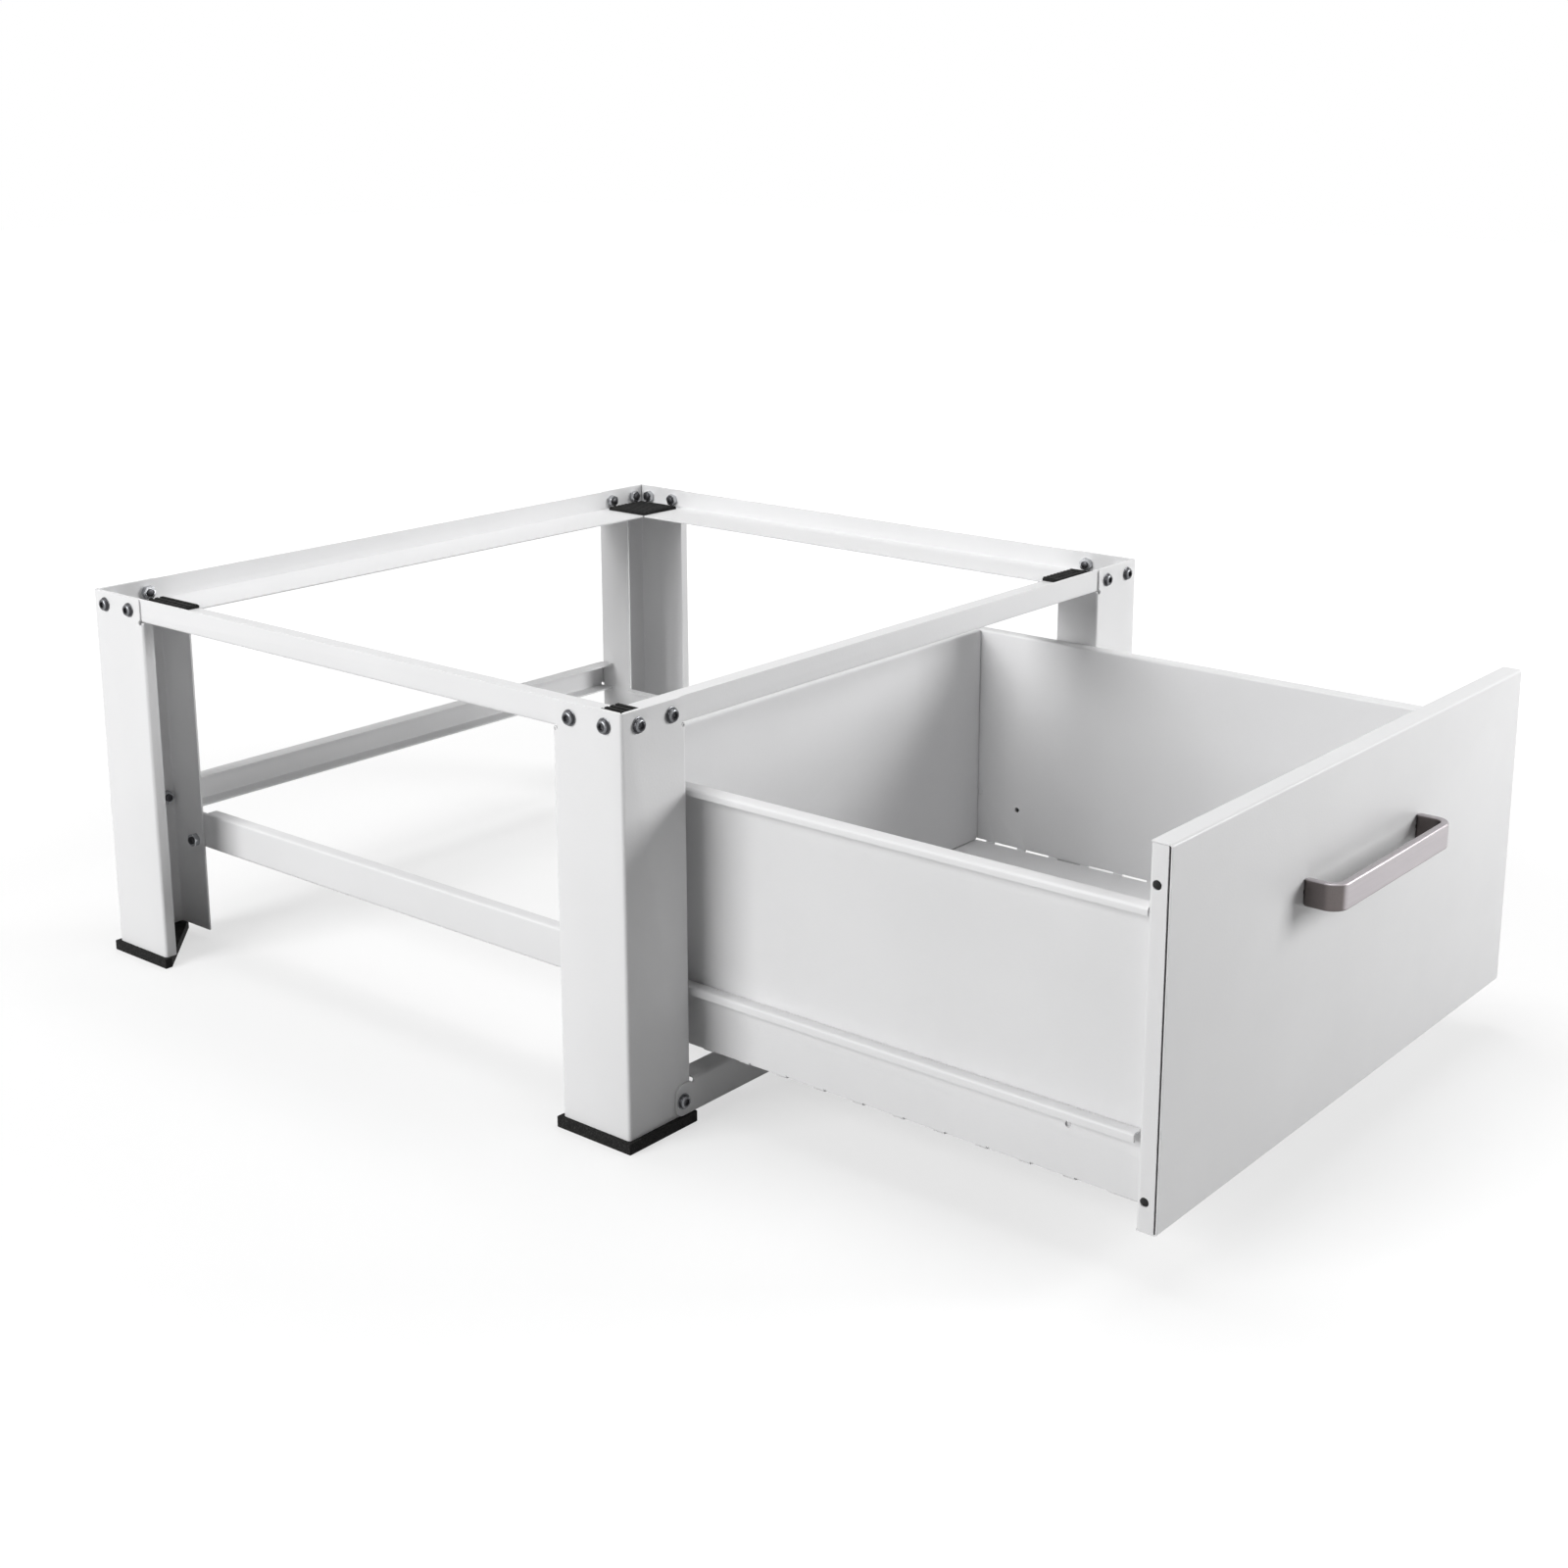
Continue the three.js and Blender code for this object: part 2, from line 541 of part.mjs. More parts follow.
// A crossbar outside the legs' front or rear flanges. Its flanges reach inwards between the legs,
// and its upright face runs on at both ends as bolting tabs with round corners.
function crossbarGeometry(signY, bottom, height, withLowerFlange) {
  const top = bottom + height;
  const inner = BAR_OUT_Y - RAIL_SHEET;
  const tip = BAR_OUT_Y - BAR_FLANGE;
  const path = [[tip, top], [BAR_OUT_Y, top], [BAR_OUT_Y, bottom]];
  if (withLowerFlange) path.push([tip, bottom]);
  const outline = foldedSheet(path.reverse(), RAIL_SHEET, RAIL_BEND);
  const halfLength = BAY_HALF + BAR_TAB;
  const fold = RAIL_SHEET + RAIL_BEND;
  const tabTop = top - fold;
  const tabBottom = withLowerFlange ? bottom + fold : bottom;
  const tools = [];
  for (const end of [-1, 1]) {
    const tipX = end * halfLength;
    const root = end * (BAY_HALF - SEAT - BAR_NOTCH);
    const corner = (z, up) => roundedCorner(
      'y', [tipX, signY * BAR_OUT_Y, z], -end, up, TAB_CORNER, 2 * RAIL_SHEET,
    );
    const waste = (from, to) => block(
      [root, signY * (tip - OVERCUT), from],
      [tipX + end * OVERCUT, signY * (BAR_OUT_Y + OVERCUT), to],
    );
    const notchX = root + end * BAR_NOTCH;
    const notch = (z) => bar('y', BAR_NOTCH, 4 * RAIL_SHEET, [notchX, signY * inner, z]);
    tools.push(waste(tabTop, top + OVERCUT), notch(tabTop));
    tools.push(corner(tabTop, -1), corner(tabBottom, 1));
    if (withLowerFlange) tools.push(waste(bottom - OVERCUT, tabBottom), notch(tabBottom));
    tools.push(bar('y', BOLT_HOLE, 4 * RAIL_SHEET, [
      end * BAR_BOLT_X, signY * inner, barBoltZ(signY),
    ]));
  }
  const body = extrude('x', mirrorOutline(outline, signY, 1), -halfLength, halfLength);
  return cut(body, tools);
}

// A button-head bolt with its nut on, head up, about the seat of its head. grip is what it clamps.
function boltGeometry(grip) {
  const length = grip + NUT_HEIGHT + BOLT_TAIL;
  const crown = SOCKET_RADIUS + HEAD_RING;
  const dome = [];
  for (let step = 0; step <= DOME_STEPS; step += 1) {
    const angle = Math.PI / 2 * step / DOME_STEPS;
    dome.push([
      crown + (HEAD_RADIUS - crown) * Math.cos(angle),
      HEAD_RIM + (HEAD_HEIGHT - HEAD_RIM) * Math.sin(angle),
    ]);
  }
  const profile = [[0, -length], [BOLT_RADIUS, -length], [BOLT_RADIUS, 0], [HEAD_RADIUS, 0]];
  profile.push(...dome, [0, HEAD_HEIGHT]);
  const points = profile.map(([r, z]) => new THREE.Vector2(r, z));
  const shaft = new THREE.LatheGeometry(points, BOLT_SIDES).rotateX(Math.PI / 2);
  const nut = bar('z', NUT_RADIUS, NUT_HEIGHT, [0, 0, -grip - NUT_HEIGHT / 2], 6);
  const socket = bar('z', SOCKET_RADIUS, 2 * SOCKET_DEPTH, [0, 0, HEAD_HEIGHT], 6);
  return cut(join([shaft, nut]), [socket]);
}

// A roller about its middle, lying along X, with a bore and with chamfers at both ends of its tread.
function rollerGeometry(radius, width, bore) {
  const half = width / 2;
  const profile = [
    [bore, -half],
    [radius - ROLLER_CHAMFER, -half],
    [radius, -half + ROLLER_CHAMFER],
    [radius, half - ROLLER_CHAMFER],
    [radius - ROLLER_CHAMFER, half],
    [bore, half],
    [bore, -half],
  ].map(([r, z]) => new THREE.Vector2(r, z));
  const ring = new THREE.LatheGeometry(profile, ROLLER_SIDES);
  return ring.rotateX(Math.PI / 2).applyMatrix4(BASIS.x);
}

// A stepped pin along X, given as [radius, length] steps from x = 0 outwards in the sign's direction.
function steppedPin(steps, sign) {
  const profile = [[0, 0]];
  let along = 0;
  for (const [radius, length] of steps) {
    profile.push([radius, along], [radius, along + length]);
    along += length;
  }
  profile.push([0, along]);
  const points = profile.map(([r, z]) => new THREE.Vector2(r, z));
  const pin = new THREE.LatheGeometry(points, HOLE_SIDES).rotateX(Math.PI / 2);
  pin.applyMatrix4(BASIS.x);
  return sign < 0 ? pin.rotateY(Math.PI) : pin;
}

// ---------------------------------------------------------------------------------------------
// Drawer
// ---------------------------------------------------------------------------------------------

// Bottom and side walls in one folded sheet, with outward hems and perforated folding lines.
function trayGeometry() {
  const hemX = WALL_OUT_X + HEM_WIDTH;
  const outline = foldedSheet([
    [-hemX, DRAWER_TOP - HEM_LIP],
    [-hemX, DRAWER_TOP],
    [-WALL_IN_X, DRAWER_TOP],
    [-WALL_IN_X, TRAY_FLOOR],
    [WALL_IN_X, TRAY_FLOOR],
    [WALL_IN_X, DRAWER_TOP],
    [hemX, DRAWER_TOP],
    [hemX, DRAWER_TOP - HEM_LIP],
  ].reverse(), DRAWER_SHEET, DRAWER_BEND);
  const tools = [];
  for (const side of [-1, 1]) {
    for (let y = TRAY_REAR - SLOT_START; y > TRAY_FRONT + SLOT_LENGTH; y -= SLOT_PITCH) {
      tools.push(block(
        [side * (WALL_OUT_X + OVERCUT), y - SLOT_LENGTH / 2, DRAWER_BOTTOM - OVERCUT],
        [side * (WALL_OUT_X - SLOT_WIDTH), y + SLOT_LENGTH / 2, DRAWER_BOTTOM + SLOT_WIDTH],
      ));
    }
    for (const y of [TRAY_FRONT + RUNNER_HOLE_INSET, TRAY_REAR - RUNNER_HOLE_INSET]) {
      const place = [side * WALL_OUT_X, y, RUNNER_TOP - RUNNER_HOLE_DROP];
      tools.push(bar('x', RUNNER_HOLE_RADIUS, 4 * DRAWER_SHEET, place));
    }
    const axlePlace = [side * WALL_OUT_X, REAR_ROLLER_Y, REAR_ROLLER_Z];
    tools.push(bar('x', REAR_AXLE_RADIUS + AXLE_HOLE_PLAY, 4 * DRAWER_SHEET, axlePlace));
  }
  const body = join([
    extrude('y', outline, TRAY_FRONT, TRAY_REAR),
    ...trayTabs(),
  ]);
  return cut(body, tools);
}

// Tabs turned inwards at the tray's front end, where it is welded to the drawer front.
function trayTabs() {
  const low = TRAY_FLOOR + DRAWER_BEND + SEAT;
  const high = DRAWER_TOP - DRAWER_SHEET - DRAWER_BEND - SEAT;
  const behind = TRAY_FRONT + DRAWER_SHEET;
  const walls = [-1, 1].map((side) => block(
    [side * (WALL_IN_X + DRAWER_SHEET / 2), TRAY_FRONT, low],
    [side * (WALL_IN_X - FRONT_TAB), behind, high],
  ));
  const half = WALL_IN_X - FRONT_TAB - FRONT_TAB_GAP;
  const floor = block(
    [-half, TRAY_FRONT, DRAWER_BOTTOM + DRAWER_SHEET / 2],
    [half, behind, TRAY_FLOOR + FRONT_TAB],
  );
  return [...walls, floor];
}

// The rear wall: a panel with a hem on top and welding flanges along its sides and bottom.
function backWallGeometry() {
  const half = WALL_IN_X - SEAT;
  const front = BACK_WALL_REAR - DRAWER_SHEET;
  const rear = front + BACK_WALL_FLANGE;
  const bottom = TRAY_FLOOR + SEAT;
  const upright = foldedSheet([
    [rear, bottom],
    [front, bottom],
    [front, DRAWER_TOP],
    [front + BACK_WALL_HEM, DRAWER_TOP],
    [front + BACK_WALL_HEM, DRAWER_TOP - HEM_LIP],
  ].reverse(), DRAWER_SHEET, DRAWER_BEND);
  const plan = foldedSheet([
    [-half, rear],
    [-half, front],
    [half, front],
    [half, rear],
  ], DRAWER_SHEET, DRAWER_BEND);
  const fold = DRAWER_SHEET + DRAWER_BEND;
  const clear = fold + SEAT;
  return join([
    extrude('x', upright, -half + clear, half - clear),
    extrude('z', plan, bottom + clear, DRAWER_TOP - HEM_LIP - clear),
  ]);
}

// The drawer front's skin: a sheet folded back along its upper and lower edges.
function skinGeometry() {
  const half = PANEL_HALF;
  const outline = foldedSheet([
    [PANEL_REAR, PANEL_BOTTOM],
    [PANEL_FRONT, PANEL_BOTTOM],
    [PANEL_FRONT, PANEL_TOP],
    [PANEL_REAR, PANEL_TOP],
  ].reverse(), PANEL_SHEET, PANEL_BEND);
  const holes = [-1, 1].map((side) => handleScrewHole(side, PANEL_FRONT));
  return cut(extrude('x', outline, -half, half), holes);
}

// The drawer front's inner pan: a sheet folded forwards along both sides, inside the skin.
function backingGeometry() {
  const half = PANEL_HALF;
  const front = PANEL_FRONT + PANEL_SHEET + PANEL_SEAM;
  const outline = foldedSheet([
    [half, front],
    [half, PANEL_REAR],
    [-half, PANEL_REAR],
    [-half, front],
  ], PANEL_SHEET, PANEL_BEND);
  const clear = PANEL_SHEET + SEAT;
  const body = extrude('z', outline, PANEL_BOTTOM + clear, PANEL_TOP - clear);
  const holes = [-1, 1].map((side) => handleScrewHole(side, PANEL_REAR));
  const holeY = PANEL_REAR - PANEL_HOLE_SETBACK;
  for (const z of [PANEL_BOTTOM + PANEL_HOLE_LOW, PANEL_TOP - PANEL_HOLE_HIGH]) {
    for (const side of [-1, 1]) {
      holes.push(bar('x', PANEL_HOLE_RADIUS, 4 * PANEL_SHEET, [side * half, holeY, z], 16));
    }
  }
  return cut(body, holes);
}

function handleScrewHole(side, y) {
  const place = [side * HANDLE_SCREW_X, y, HANDLE_Z];
  return bar('y', HANDLE_SCREW_RADIUS + BOLT_HOLE_PLAY, 4 * PANEL_SHEET, place);
}

// A flat bow handle, about the middle of its base on the drawer front. It reaches towards -Y.
function handleGeometry() {
  const half = HANDLE_LENGTH / 2;
  const bevel = HANDLE_BEVEL;
  const bend = HANDLE_CORNER - HANDLE_THICK;
  const outline = [];
  const corner = (centreX, centreY, radius, startAngle, sweep) => {
    for (let step = 0; step <= ARC_STEPS; step += 1) {
      const angle = startAngle + sweep * step / ARC_STEPS;
      outline.push([centreX + radius * Math.cos(angle), centreY + radius * Math.sin(angle)]);
    }
  };
  const centreX = half - HANDLE_CORNER;
  const centreY = -HANDLE_REACH + HANDLE_CORNER;
  const outer = HANDLE_CORNER - bevel;
  const inner = bend + bevel;
  outline.push([-half + bevel, -bevel]);
  corner(-centreX, centreY, outer, Math.PI, Math.PI / 2);
  corner(centreX, centreY, outer, -Math.PI / 2, Math.PI / 2);
  outline.push([half - bevel, -bevel], [half - HANDLE_THICK + bevel, -bevel]);
  corner(centreX, centreY, inner, 0, -Math.PI / 2);
  corner(-centreX, centreY, inner, -Math.PI / 2, -Math.PI / 2);
  outline.push([-half + HANDLE_THICK - bevel, -bevel]);
  const shape = new THREE.Shape(outline.map(([x, y]) => new THREE.Vector2(x, y)));
  const body = new THREE.ExtrudeGeometry(shape, {
    depth: HANDLE_HEIGHT - 2 * bevel,
    bevelSize: bevel,
    bevelThickness: bevel,
    bevelSegments: 2,
  }).translate(0, 0, bevel - HANDLE_HEIGHT / 2);
  const bores = [-1, 1].map((side) => bar(
    'y',
    HANDLE_SCREW_RADIUS + BORE_PLAY,
    2 * (HANDLE_SCREW_BITE + SCREW_END_GAP),
    [side * HANDLE_SCREW_X, 0, 0],
  ));
  return cut(body, bores);
}

// A pan-head screw, head up, about the seat of its head.
function screwGeometry(length) {
  const profile = [
    [0, -length],
    [HANDLE_SCREW_RADIUS, -length],
    [HANDLE_SCREW_RADIUS, 0],
    [SCREW_HEAD_RADIUS, 0],
    [SCREW_HEAD_RADIUS, SCREW_HEAD_RIM],
    [SCREW_CROWN_RADIUS, SCREW_HEAD_HEIGHT],
    [0, SCREW_HEAD_HEIGHT],
  ].map(([r, z]) => new THREE.Vector2(r, z));
  const body = new THREE.LatheGeometry(profile, BOLT_SIDES).rotateX(Math.PI / 2);
  const arm = SCREW_RECESS_ARM;
  const wide = SCREW_RECESS_WIDTH / 2;
  const floor = SCREW_HEAD_HEIGHT - SCREW_RECESS_DEPTH;
  const past = SCREW_HEAD_HEIGHT + OVERCUT;
  return cut(body, [
    block([-arm, -wide, floor], [arm, wide, past]),
    block([-wide, -arm, floor], [wide, arm, past]),
  ]);
}

// A hooked runner on the drawer's side, with the stub axle of the rear roller swaged into its web.
function runnerGeometry(sign) {
  const outline = foldedSheet([
    [RUNNER_IN_X, RUNNER_TOP - RUNNER_HEIGHT],
    [RUNNER_IN_X, RUNNER_TOP],
    [RUNNER_OUT_X, RUNNER_TOP],
    [RUNNER_OUT_X, RUNNER_TOP - RUNNER_LIP],
  ].reverse(), RUNNER_SHEET, RUNNER_BEND);
  const front = TRAY_FRONT + RUNNER_FRONT_GAP;
  const body = extrude('y', mirrorOutline(outline, sign, 1), front, TRAY_REAR);
  const openFrom = REAR_ROLLER_Y - REAR_ROLLER_RADIUS - RUNNER_OPEN_GAP;
  const roof = block(
    [sign * RUNNER_WEB_X, openFrom, RUNNER_TOP - RUNNER_LIP - OVERCUT],
    [sign * (RUNNER_OUT_X + OVERCUT), TRAY_REAR + OVERCUT, RUNNER_TOP + OVERCUT],
  );
  const holes = [TRAY_FRONT + RUNNER_HOLE_INSET, TRAY_REAR - RUNNER_HOLE_INSET].map((y) => bar(
    'x',
    RUNNER_HOLE_RADIUS,
    4 * RUNNER_SHEET,
    [sign * RUNNER_IN_X, y, RUNNER_TOP - RUNNER_HOLE_DROP],
  ));
  const rollerEnd = rearRollerMiddle() + REAR_ROLLER_WIDTH / 2;
  const start = WALL_IN_X + SEAT;
  const axle = steppedPin([
    [REAR_AXLE_RADIUS, RUNNER_WEB_X - start],
    [REAR_AXLE_RADIUS + AXLE_SHOULDER, rollerEnd - REAR_ROLLER_WIDTH - SEAT - RUNNER_WEB_X],
    [REAR_AXLE_RADIUS, REAR_ROLLER_WIDTH + 2 * SEAT],
    [AXLE_HEAD_RADIUS, AXLE_HEAD],
  ], sign).translate(sign * start, REAR_ROLLER_Y, REAR_ROLLER_Z);
  return join([cut(body, [roof, ...holes]), axle]);
}

// The rear roller's middle, between the runner's web and the slide rail's web.
function rearRollerMiddle() {
  const outerEnd = SLIDE_IN_X - AXLE_HEAD - ROLLER_SIDE_GAP - SEAT;
  return outerEnd - REAR_ROLLER_WIDTH / 2;
}

// The front roller's middle, inside the hook of the drawer's runner.
function frontRollerMiddle() {
  const hookInside = RUNNER_OUT_X - RUNNER_SHEET;
  return hookInside - ROLLER_SIDE_GAP - FRONT_ROLLER_WIDTH / 2;
}

// The front roller's axle: a rivet through the slide rail's web, head outside.
function frontAxleGeometry(sign) {
  const inner = frontRollerMiddle() - FRONT_ROLLER_WIDTH / 2;
  const outer = inner + FRONT_ROLLER_WIDTH;
  const start = inner - SEAT - AXLE_HEAD;
  const pin = steppedPin([
    [FRONT_AXLE_RADIUS + AXLE_SHOULDER, AXLE_HEAD],
    [FRONT_AXLE_RADIUS - BORE_PLAY, FRONT_ROLLER_WIDTH + 2 * SEAT],
    [FRONT_AXLE_RADIUS + AXLE_SHOULDER, SLIDE_IN_X - SEAT - outer - SEAT],
    [FRONT_AXLE_RADIUS, RAIL_SHEET + 2 * SEAT],
    [AXLE_HEAD_RADIUS, 2 * AXLE_HEAD],
  ], sign);
  return pin.translate(sign * start, FRONT_ROLLER_Y, FRONT_ROLLER_Z);
}

// ---------------------------------------------------------------------------------------------
// Assembly
// ---------------------------------------------------------------------------------------------

const pedestal = new THREE.Group();
const frame = new THREE.Group();
const drawer = new THREE.Group();
pedestal.add(frame, drawer);

function place(group, name, geometry, material, position = [0, 0, 0], outward = null) {
  const mesh = new THREE.Mesh(geometry, material);
  mesh.name = name;
  mesh.position.set(...position);
  if (outward) {
    mesh.quaternion.setFromUnitVectors(new THREE.Vector3(0, 0, 1), new THREE.Vector3(...outward));
  }
  group.add(mesh);
  return mesh;
}

const SIDES = [['left', -1], ['right', 1]];
const ENDS = [['front', -1], ['rear', 1]];

function addCorner(endName, signY, sideName, signX) {
  const corner = `${endName}_${sideName}`;
  const cornerX = signX * HALF_WIDTH;
  const cornerY = signY * HALF_DEPTH;
  place(frame, `leg_${corner}`, legGeometry(signX, signY), FINISH.frame(), [cornerX, cornerY, 0]);
  place(frame, `foot_${corner}`, footGeometry(signX, signY), FINISH.rubber(), [cornerX, cornerY, 0]);
  const padOut = PAD_INSET + PAD_SIZE / 2;
  place(frame, `pad_${corner}`, padGeometry(), FINISH.rubber(), [
    cornerX - signX * padOut, cornerY - signY * padOut, SHELF_TOP + SEAT,
  ]);
  const grip = LEG_SHEET + RAIL_SHEET + 3 * SEAT;
  for (const [mark, inset] of [['a', TOP_BOLT_OUTER], ['b', TOP_BOLT_INNER]]) {
    place(frame, `top_bolt_${corner}_side_${mark}`, boltGeometry(grip), FINISH.bolt(), [
      cornerX + signX * SEAT, cornerY - signY * inset, TOP_BOLT_Z,
    ], [signX, 0, 0]);
    place(frame, `top_bolt_${corner}_face_${mark}`, boltGeometry(grip), FINISH.bolt(), [
      cornerX - signX * inset, cornerY + signY * SEAT, TOP_BOLT_Z,
    ], [0, signY, 0]);
  }
  place(frame, `crossbar_bolt_${corner}`, boltGeometry(grip), FINISH.bolt(), [
    signX * BAR_BOLT_X, signY * (BAR_OUT_Y + SEAT), barBoltZ(signY),
  ], [0, signY, 0]);
  place(frame, `slide_bolt_${corner}`, boltGeometry(grip), FINISH.bolt(), [
    signX * (SLIDE_IN_X - SEAT), slideBoltY(signY), SLIDE_BOLT_Z,
  ], [-signX, 0, 0]);
}

for (const [endName, signY] of ENDS) {
  for (const [sideName, signX] of SIDES) addCorner(endName, signY, sideName, signX);
  place(frame, `top_rail_${endName}`, topRailGeometry('x', signY), FINISH.frame());
}
const frontBar = crossbarGeometry(-1, FRONT_BAR_BOTTOM, FRONT_BAR_HEIGHT, false);
const rearBar = crossbarGeometry(1, REAR_BAR_BOTTOM, REAR_BAR_HEIGHT, true);
place(frame, 'crossbar_front', frontBar, FINISH.frame());
place(frame, 'crossbar_rear', rearBar, FINISH.frame());

for (const [sideName, signX] of SIDES) {
  place(frame, `top_rail_${sideName}`, topRailGeometry('y', signX), FINISH.frame());
  place(frame, `slide_rail_${sideName}`, slideRailGeometry(signX), FINISH.frame());
  place(frame, `front_axle_${sideName}`, frontAxleGeometry(signX), FINISH.bolt());
  const frontBore = FRONT_AXLE_RADIUS;
  const frontRoller = rollerGeometry(FRONT_ROLLER_RADIUS, FRONT_ROLLER_WIDTH, frontBore);
  place(frame, `front_roller_${sideName}`, frontRoller, FINISH.roller(), [
    signX * frontRollerMiddle(), FRONT_ROLLER_Y, FRONT_ROLLER_Z,
  ]);
  const rearBore = REAR_AXLE_RADIUS + BORE_PLAY;
  const rearRoller = rollerGeometry(REAR_ROLLER_RADIUS, REAR_ROLLER_WIDTH, rearBore);
  place(drawer, `drawer_runner_${sideName}`, runnerGeometry(signX), FINISH.drawer());
  place(drawer, `rear_roller_${sideName}`, rearRoller, FINISH.roller(), [
    signX * rearRollerMiddle(), REAR_ROLLER_Y, REAR_ROLLER_Z,
  ]);
  const screwLength = PANEL_THICK + SEAT + HANDLE_SCREW_BITE;
  place(drawer, `handle_screw_${sideName}`, screwGeometry(screwLength), FINISH.bolt(), [
    signX * HANDLE_SCREW_X, PANEL_REAR + SEAT, HANDLE_Z,
  ], [0, 1, 0]);
}

place(drawer, 'drawer_tray', trayGeometry(), FINISH.drawer());
place(drawer, 'drawer_back_wall', backWallGeometry(), FINISH.drawer());
place(drawer, 'drawer_front_skin', skinGeometry(), FINISH.drawer());
place(drawer, 'drawer_front_backing', backingGeometry(), FINISH.drawer());
place(drawer, 'drawer_handle', handleGeometry(), FINISH.handle(), [
  0, PANEL_FRONT - SEAT, HANDLE_Z,
]);

// The origin goes under the middle of the whole object, from the handle to the rear bolt heads.
const FOREMOST = PANEL_FRONT - SEAT - HANDLE_REACH;
const REARMOST = BAR_OUT_Y + SEAT + HEAD_HEIGHT;
pedestal.position.y = -(FOREMOST + REARMOST) / 2;

export default pedestal;
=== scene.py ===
"""A washing machine pedestal with a pull-out drawer, dressed for the photograph's view.

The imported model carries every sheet-metal piece. This script adds finer bolts, screws, rollers and
handle, gives every piece its finish, and sets the floor, the light and the camera.
Metres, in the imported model's frame.
"""
import math

import bmesh
import bpy
from mathutils import Matrix, Vector


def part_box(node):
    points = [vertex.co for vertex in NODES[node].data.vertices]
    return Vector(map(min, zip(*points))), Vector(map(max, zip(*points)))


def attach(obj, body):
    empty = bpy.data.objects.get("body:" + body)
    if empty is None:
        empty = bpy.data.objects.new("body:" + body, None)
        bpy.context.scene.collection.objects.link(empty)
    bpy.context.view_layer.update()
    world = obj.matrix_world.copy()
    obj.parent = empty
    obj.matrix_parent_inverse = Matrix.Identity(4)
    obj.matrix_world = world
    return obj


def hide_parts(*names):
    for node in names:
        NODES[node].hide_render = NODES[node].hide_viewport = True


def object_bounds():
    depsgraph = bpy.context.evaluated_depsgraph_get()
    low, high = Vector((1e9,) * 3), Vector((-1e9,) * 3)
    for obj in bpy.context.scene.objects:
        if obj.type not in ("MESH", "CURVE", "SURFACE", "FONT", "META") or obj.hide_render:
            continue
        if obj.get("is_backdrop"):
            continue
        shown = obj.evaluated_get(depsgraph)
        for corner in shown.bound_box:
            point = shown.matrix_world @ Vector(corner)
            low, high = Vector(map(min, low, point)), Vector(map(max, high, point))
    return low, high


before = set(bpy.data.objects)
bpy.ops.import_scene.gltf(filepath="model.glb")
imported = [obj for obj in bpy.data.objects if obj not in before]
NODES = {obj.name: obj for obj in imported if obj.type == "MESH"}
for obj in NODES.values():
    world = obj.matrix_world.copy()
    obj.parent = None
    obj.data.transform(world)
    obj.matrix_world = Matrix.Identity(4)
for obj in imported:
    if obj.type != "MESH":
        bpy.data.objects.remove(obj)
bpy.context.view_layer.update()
MM = 0.001


def show(obj):
    """Puts a new object into the scene."""
    bpy.context.scene.collection.objects.link(obj)


# ---------------------------------------------------------------------------------------------
# Camera: solved from the photograph's corners, for a frame of 1600 by 1600
# ---------------------------------------------------------------------------------------------

IMAGE_PX = 1600
FOCAL_PX = 2267.220
CENTRE_PX = (860.0, 655.0)  # the photograph's optical centre, from its upper left corner
AZIMUTH = math.radians(-51.6568)
ELEVATION = math.radians(13.9424)
ROLL = math.radians(0.2568)
CAMERA_FROM_FRAME = Vector((-1.27490, -1.22497, 0.68051))
SENSOR_MM = 36.0
CLIP = (0.05, 50)  # the nearest and the farthest that the camera sees


def frame_middle():
    """The point on the floor under the middle of the four legs."""
    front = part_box("leg_front_left")[0]
    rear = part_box("leg_rear_right")[1]
    return Vector(((front.x + rear.x) / 2, (front.y + rear.y) / 2, 0))


def add_camera():
    """The camera at the photograph's place and angle."""
    back = Vector((
        math.sin(AZIMUTH) * math.cos(ELEVATION),
        -math.cos(AZIMUTH) * math.cos(ELEVATION),
        math.sin(ELEVATION),
    ))
    level = Vector((math.cos(AZIMUTH), math.sin(AZIMUTH), 0))
    rise = back.cross(level)
    right = level * math.cos(ROLL) + rise * math.sin(ROLL)
    up = rise * math.cos(ROLL) - level * math.sin(ROLL)
    data = bpy.data.cameras.new("camera")
    data.sensor_fit = "HORIZONTAL"
    data.sensor_width = SENSOR_MM
    data.lens = FOCAL_PX / IMAGE_PX * SENSOR_MM
    data.shift_x = (IMAGE_PX / 2 - CENTRE_PX[0]) / IMAGE_PX
    data.shift_y = (CENTRE_PX[1] - IMAGE_PX / 2) / IMAGE_PX
    data.clip_start, data.clip_end = CLIP
    camera = bpy.data.objects.new("camera", data)
    show(camera)
    turn = Matrix((right, up, back)).transposed().to_4x4()
    camera.matrix_world = Matrix.Translation(frame_middle() + CAMERA_FROM_FRAME) @ turn
    bpy.context.scene.camera = camera


add_camera()

# ---------------------------------------------------------------------------------------------
# Nodes and finishes
# ---------------------------------------------------------------------------------------------


def fill(node, inputs):
    """Gives a node's inputs their values. The output of another node is linked."""
    for socket, value in inputs.items():
        if isinstance(value, bpy.types.NodeSocket):
            node.id_data.links.new(value, node.inputs[socket])
        else:
            node.inputs[socket].default_value = value


def add_node(tree, kind, inputs=None, **settings):
    """A new node with its settings made and its inputs filled."""
    node = tree.nodes.new(kind)
    for setting, value in settings.items():
        setattr(node, setting, value)
    fill(node, inputs or {})
    return node


def combine(tree, operation, first, second):
    """Two values joined by a math node."""
    joined = add_node(tree, "ShaderNodeMath", {0: first, 1: second}, operation=operation)
    return joined.outputs["Value"]


def shade(color, factor):
    """A colour made darker by a factor."""
    return tuple(channel * factor for channel in color)


def opaque(color):
    """A colour of three channels, or a grey from one number, as a socket takes it."""
    channels = color if isinstance(color, tuple) else (color, color, color)
    return (*channels, 1)


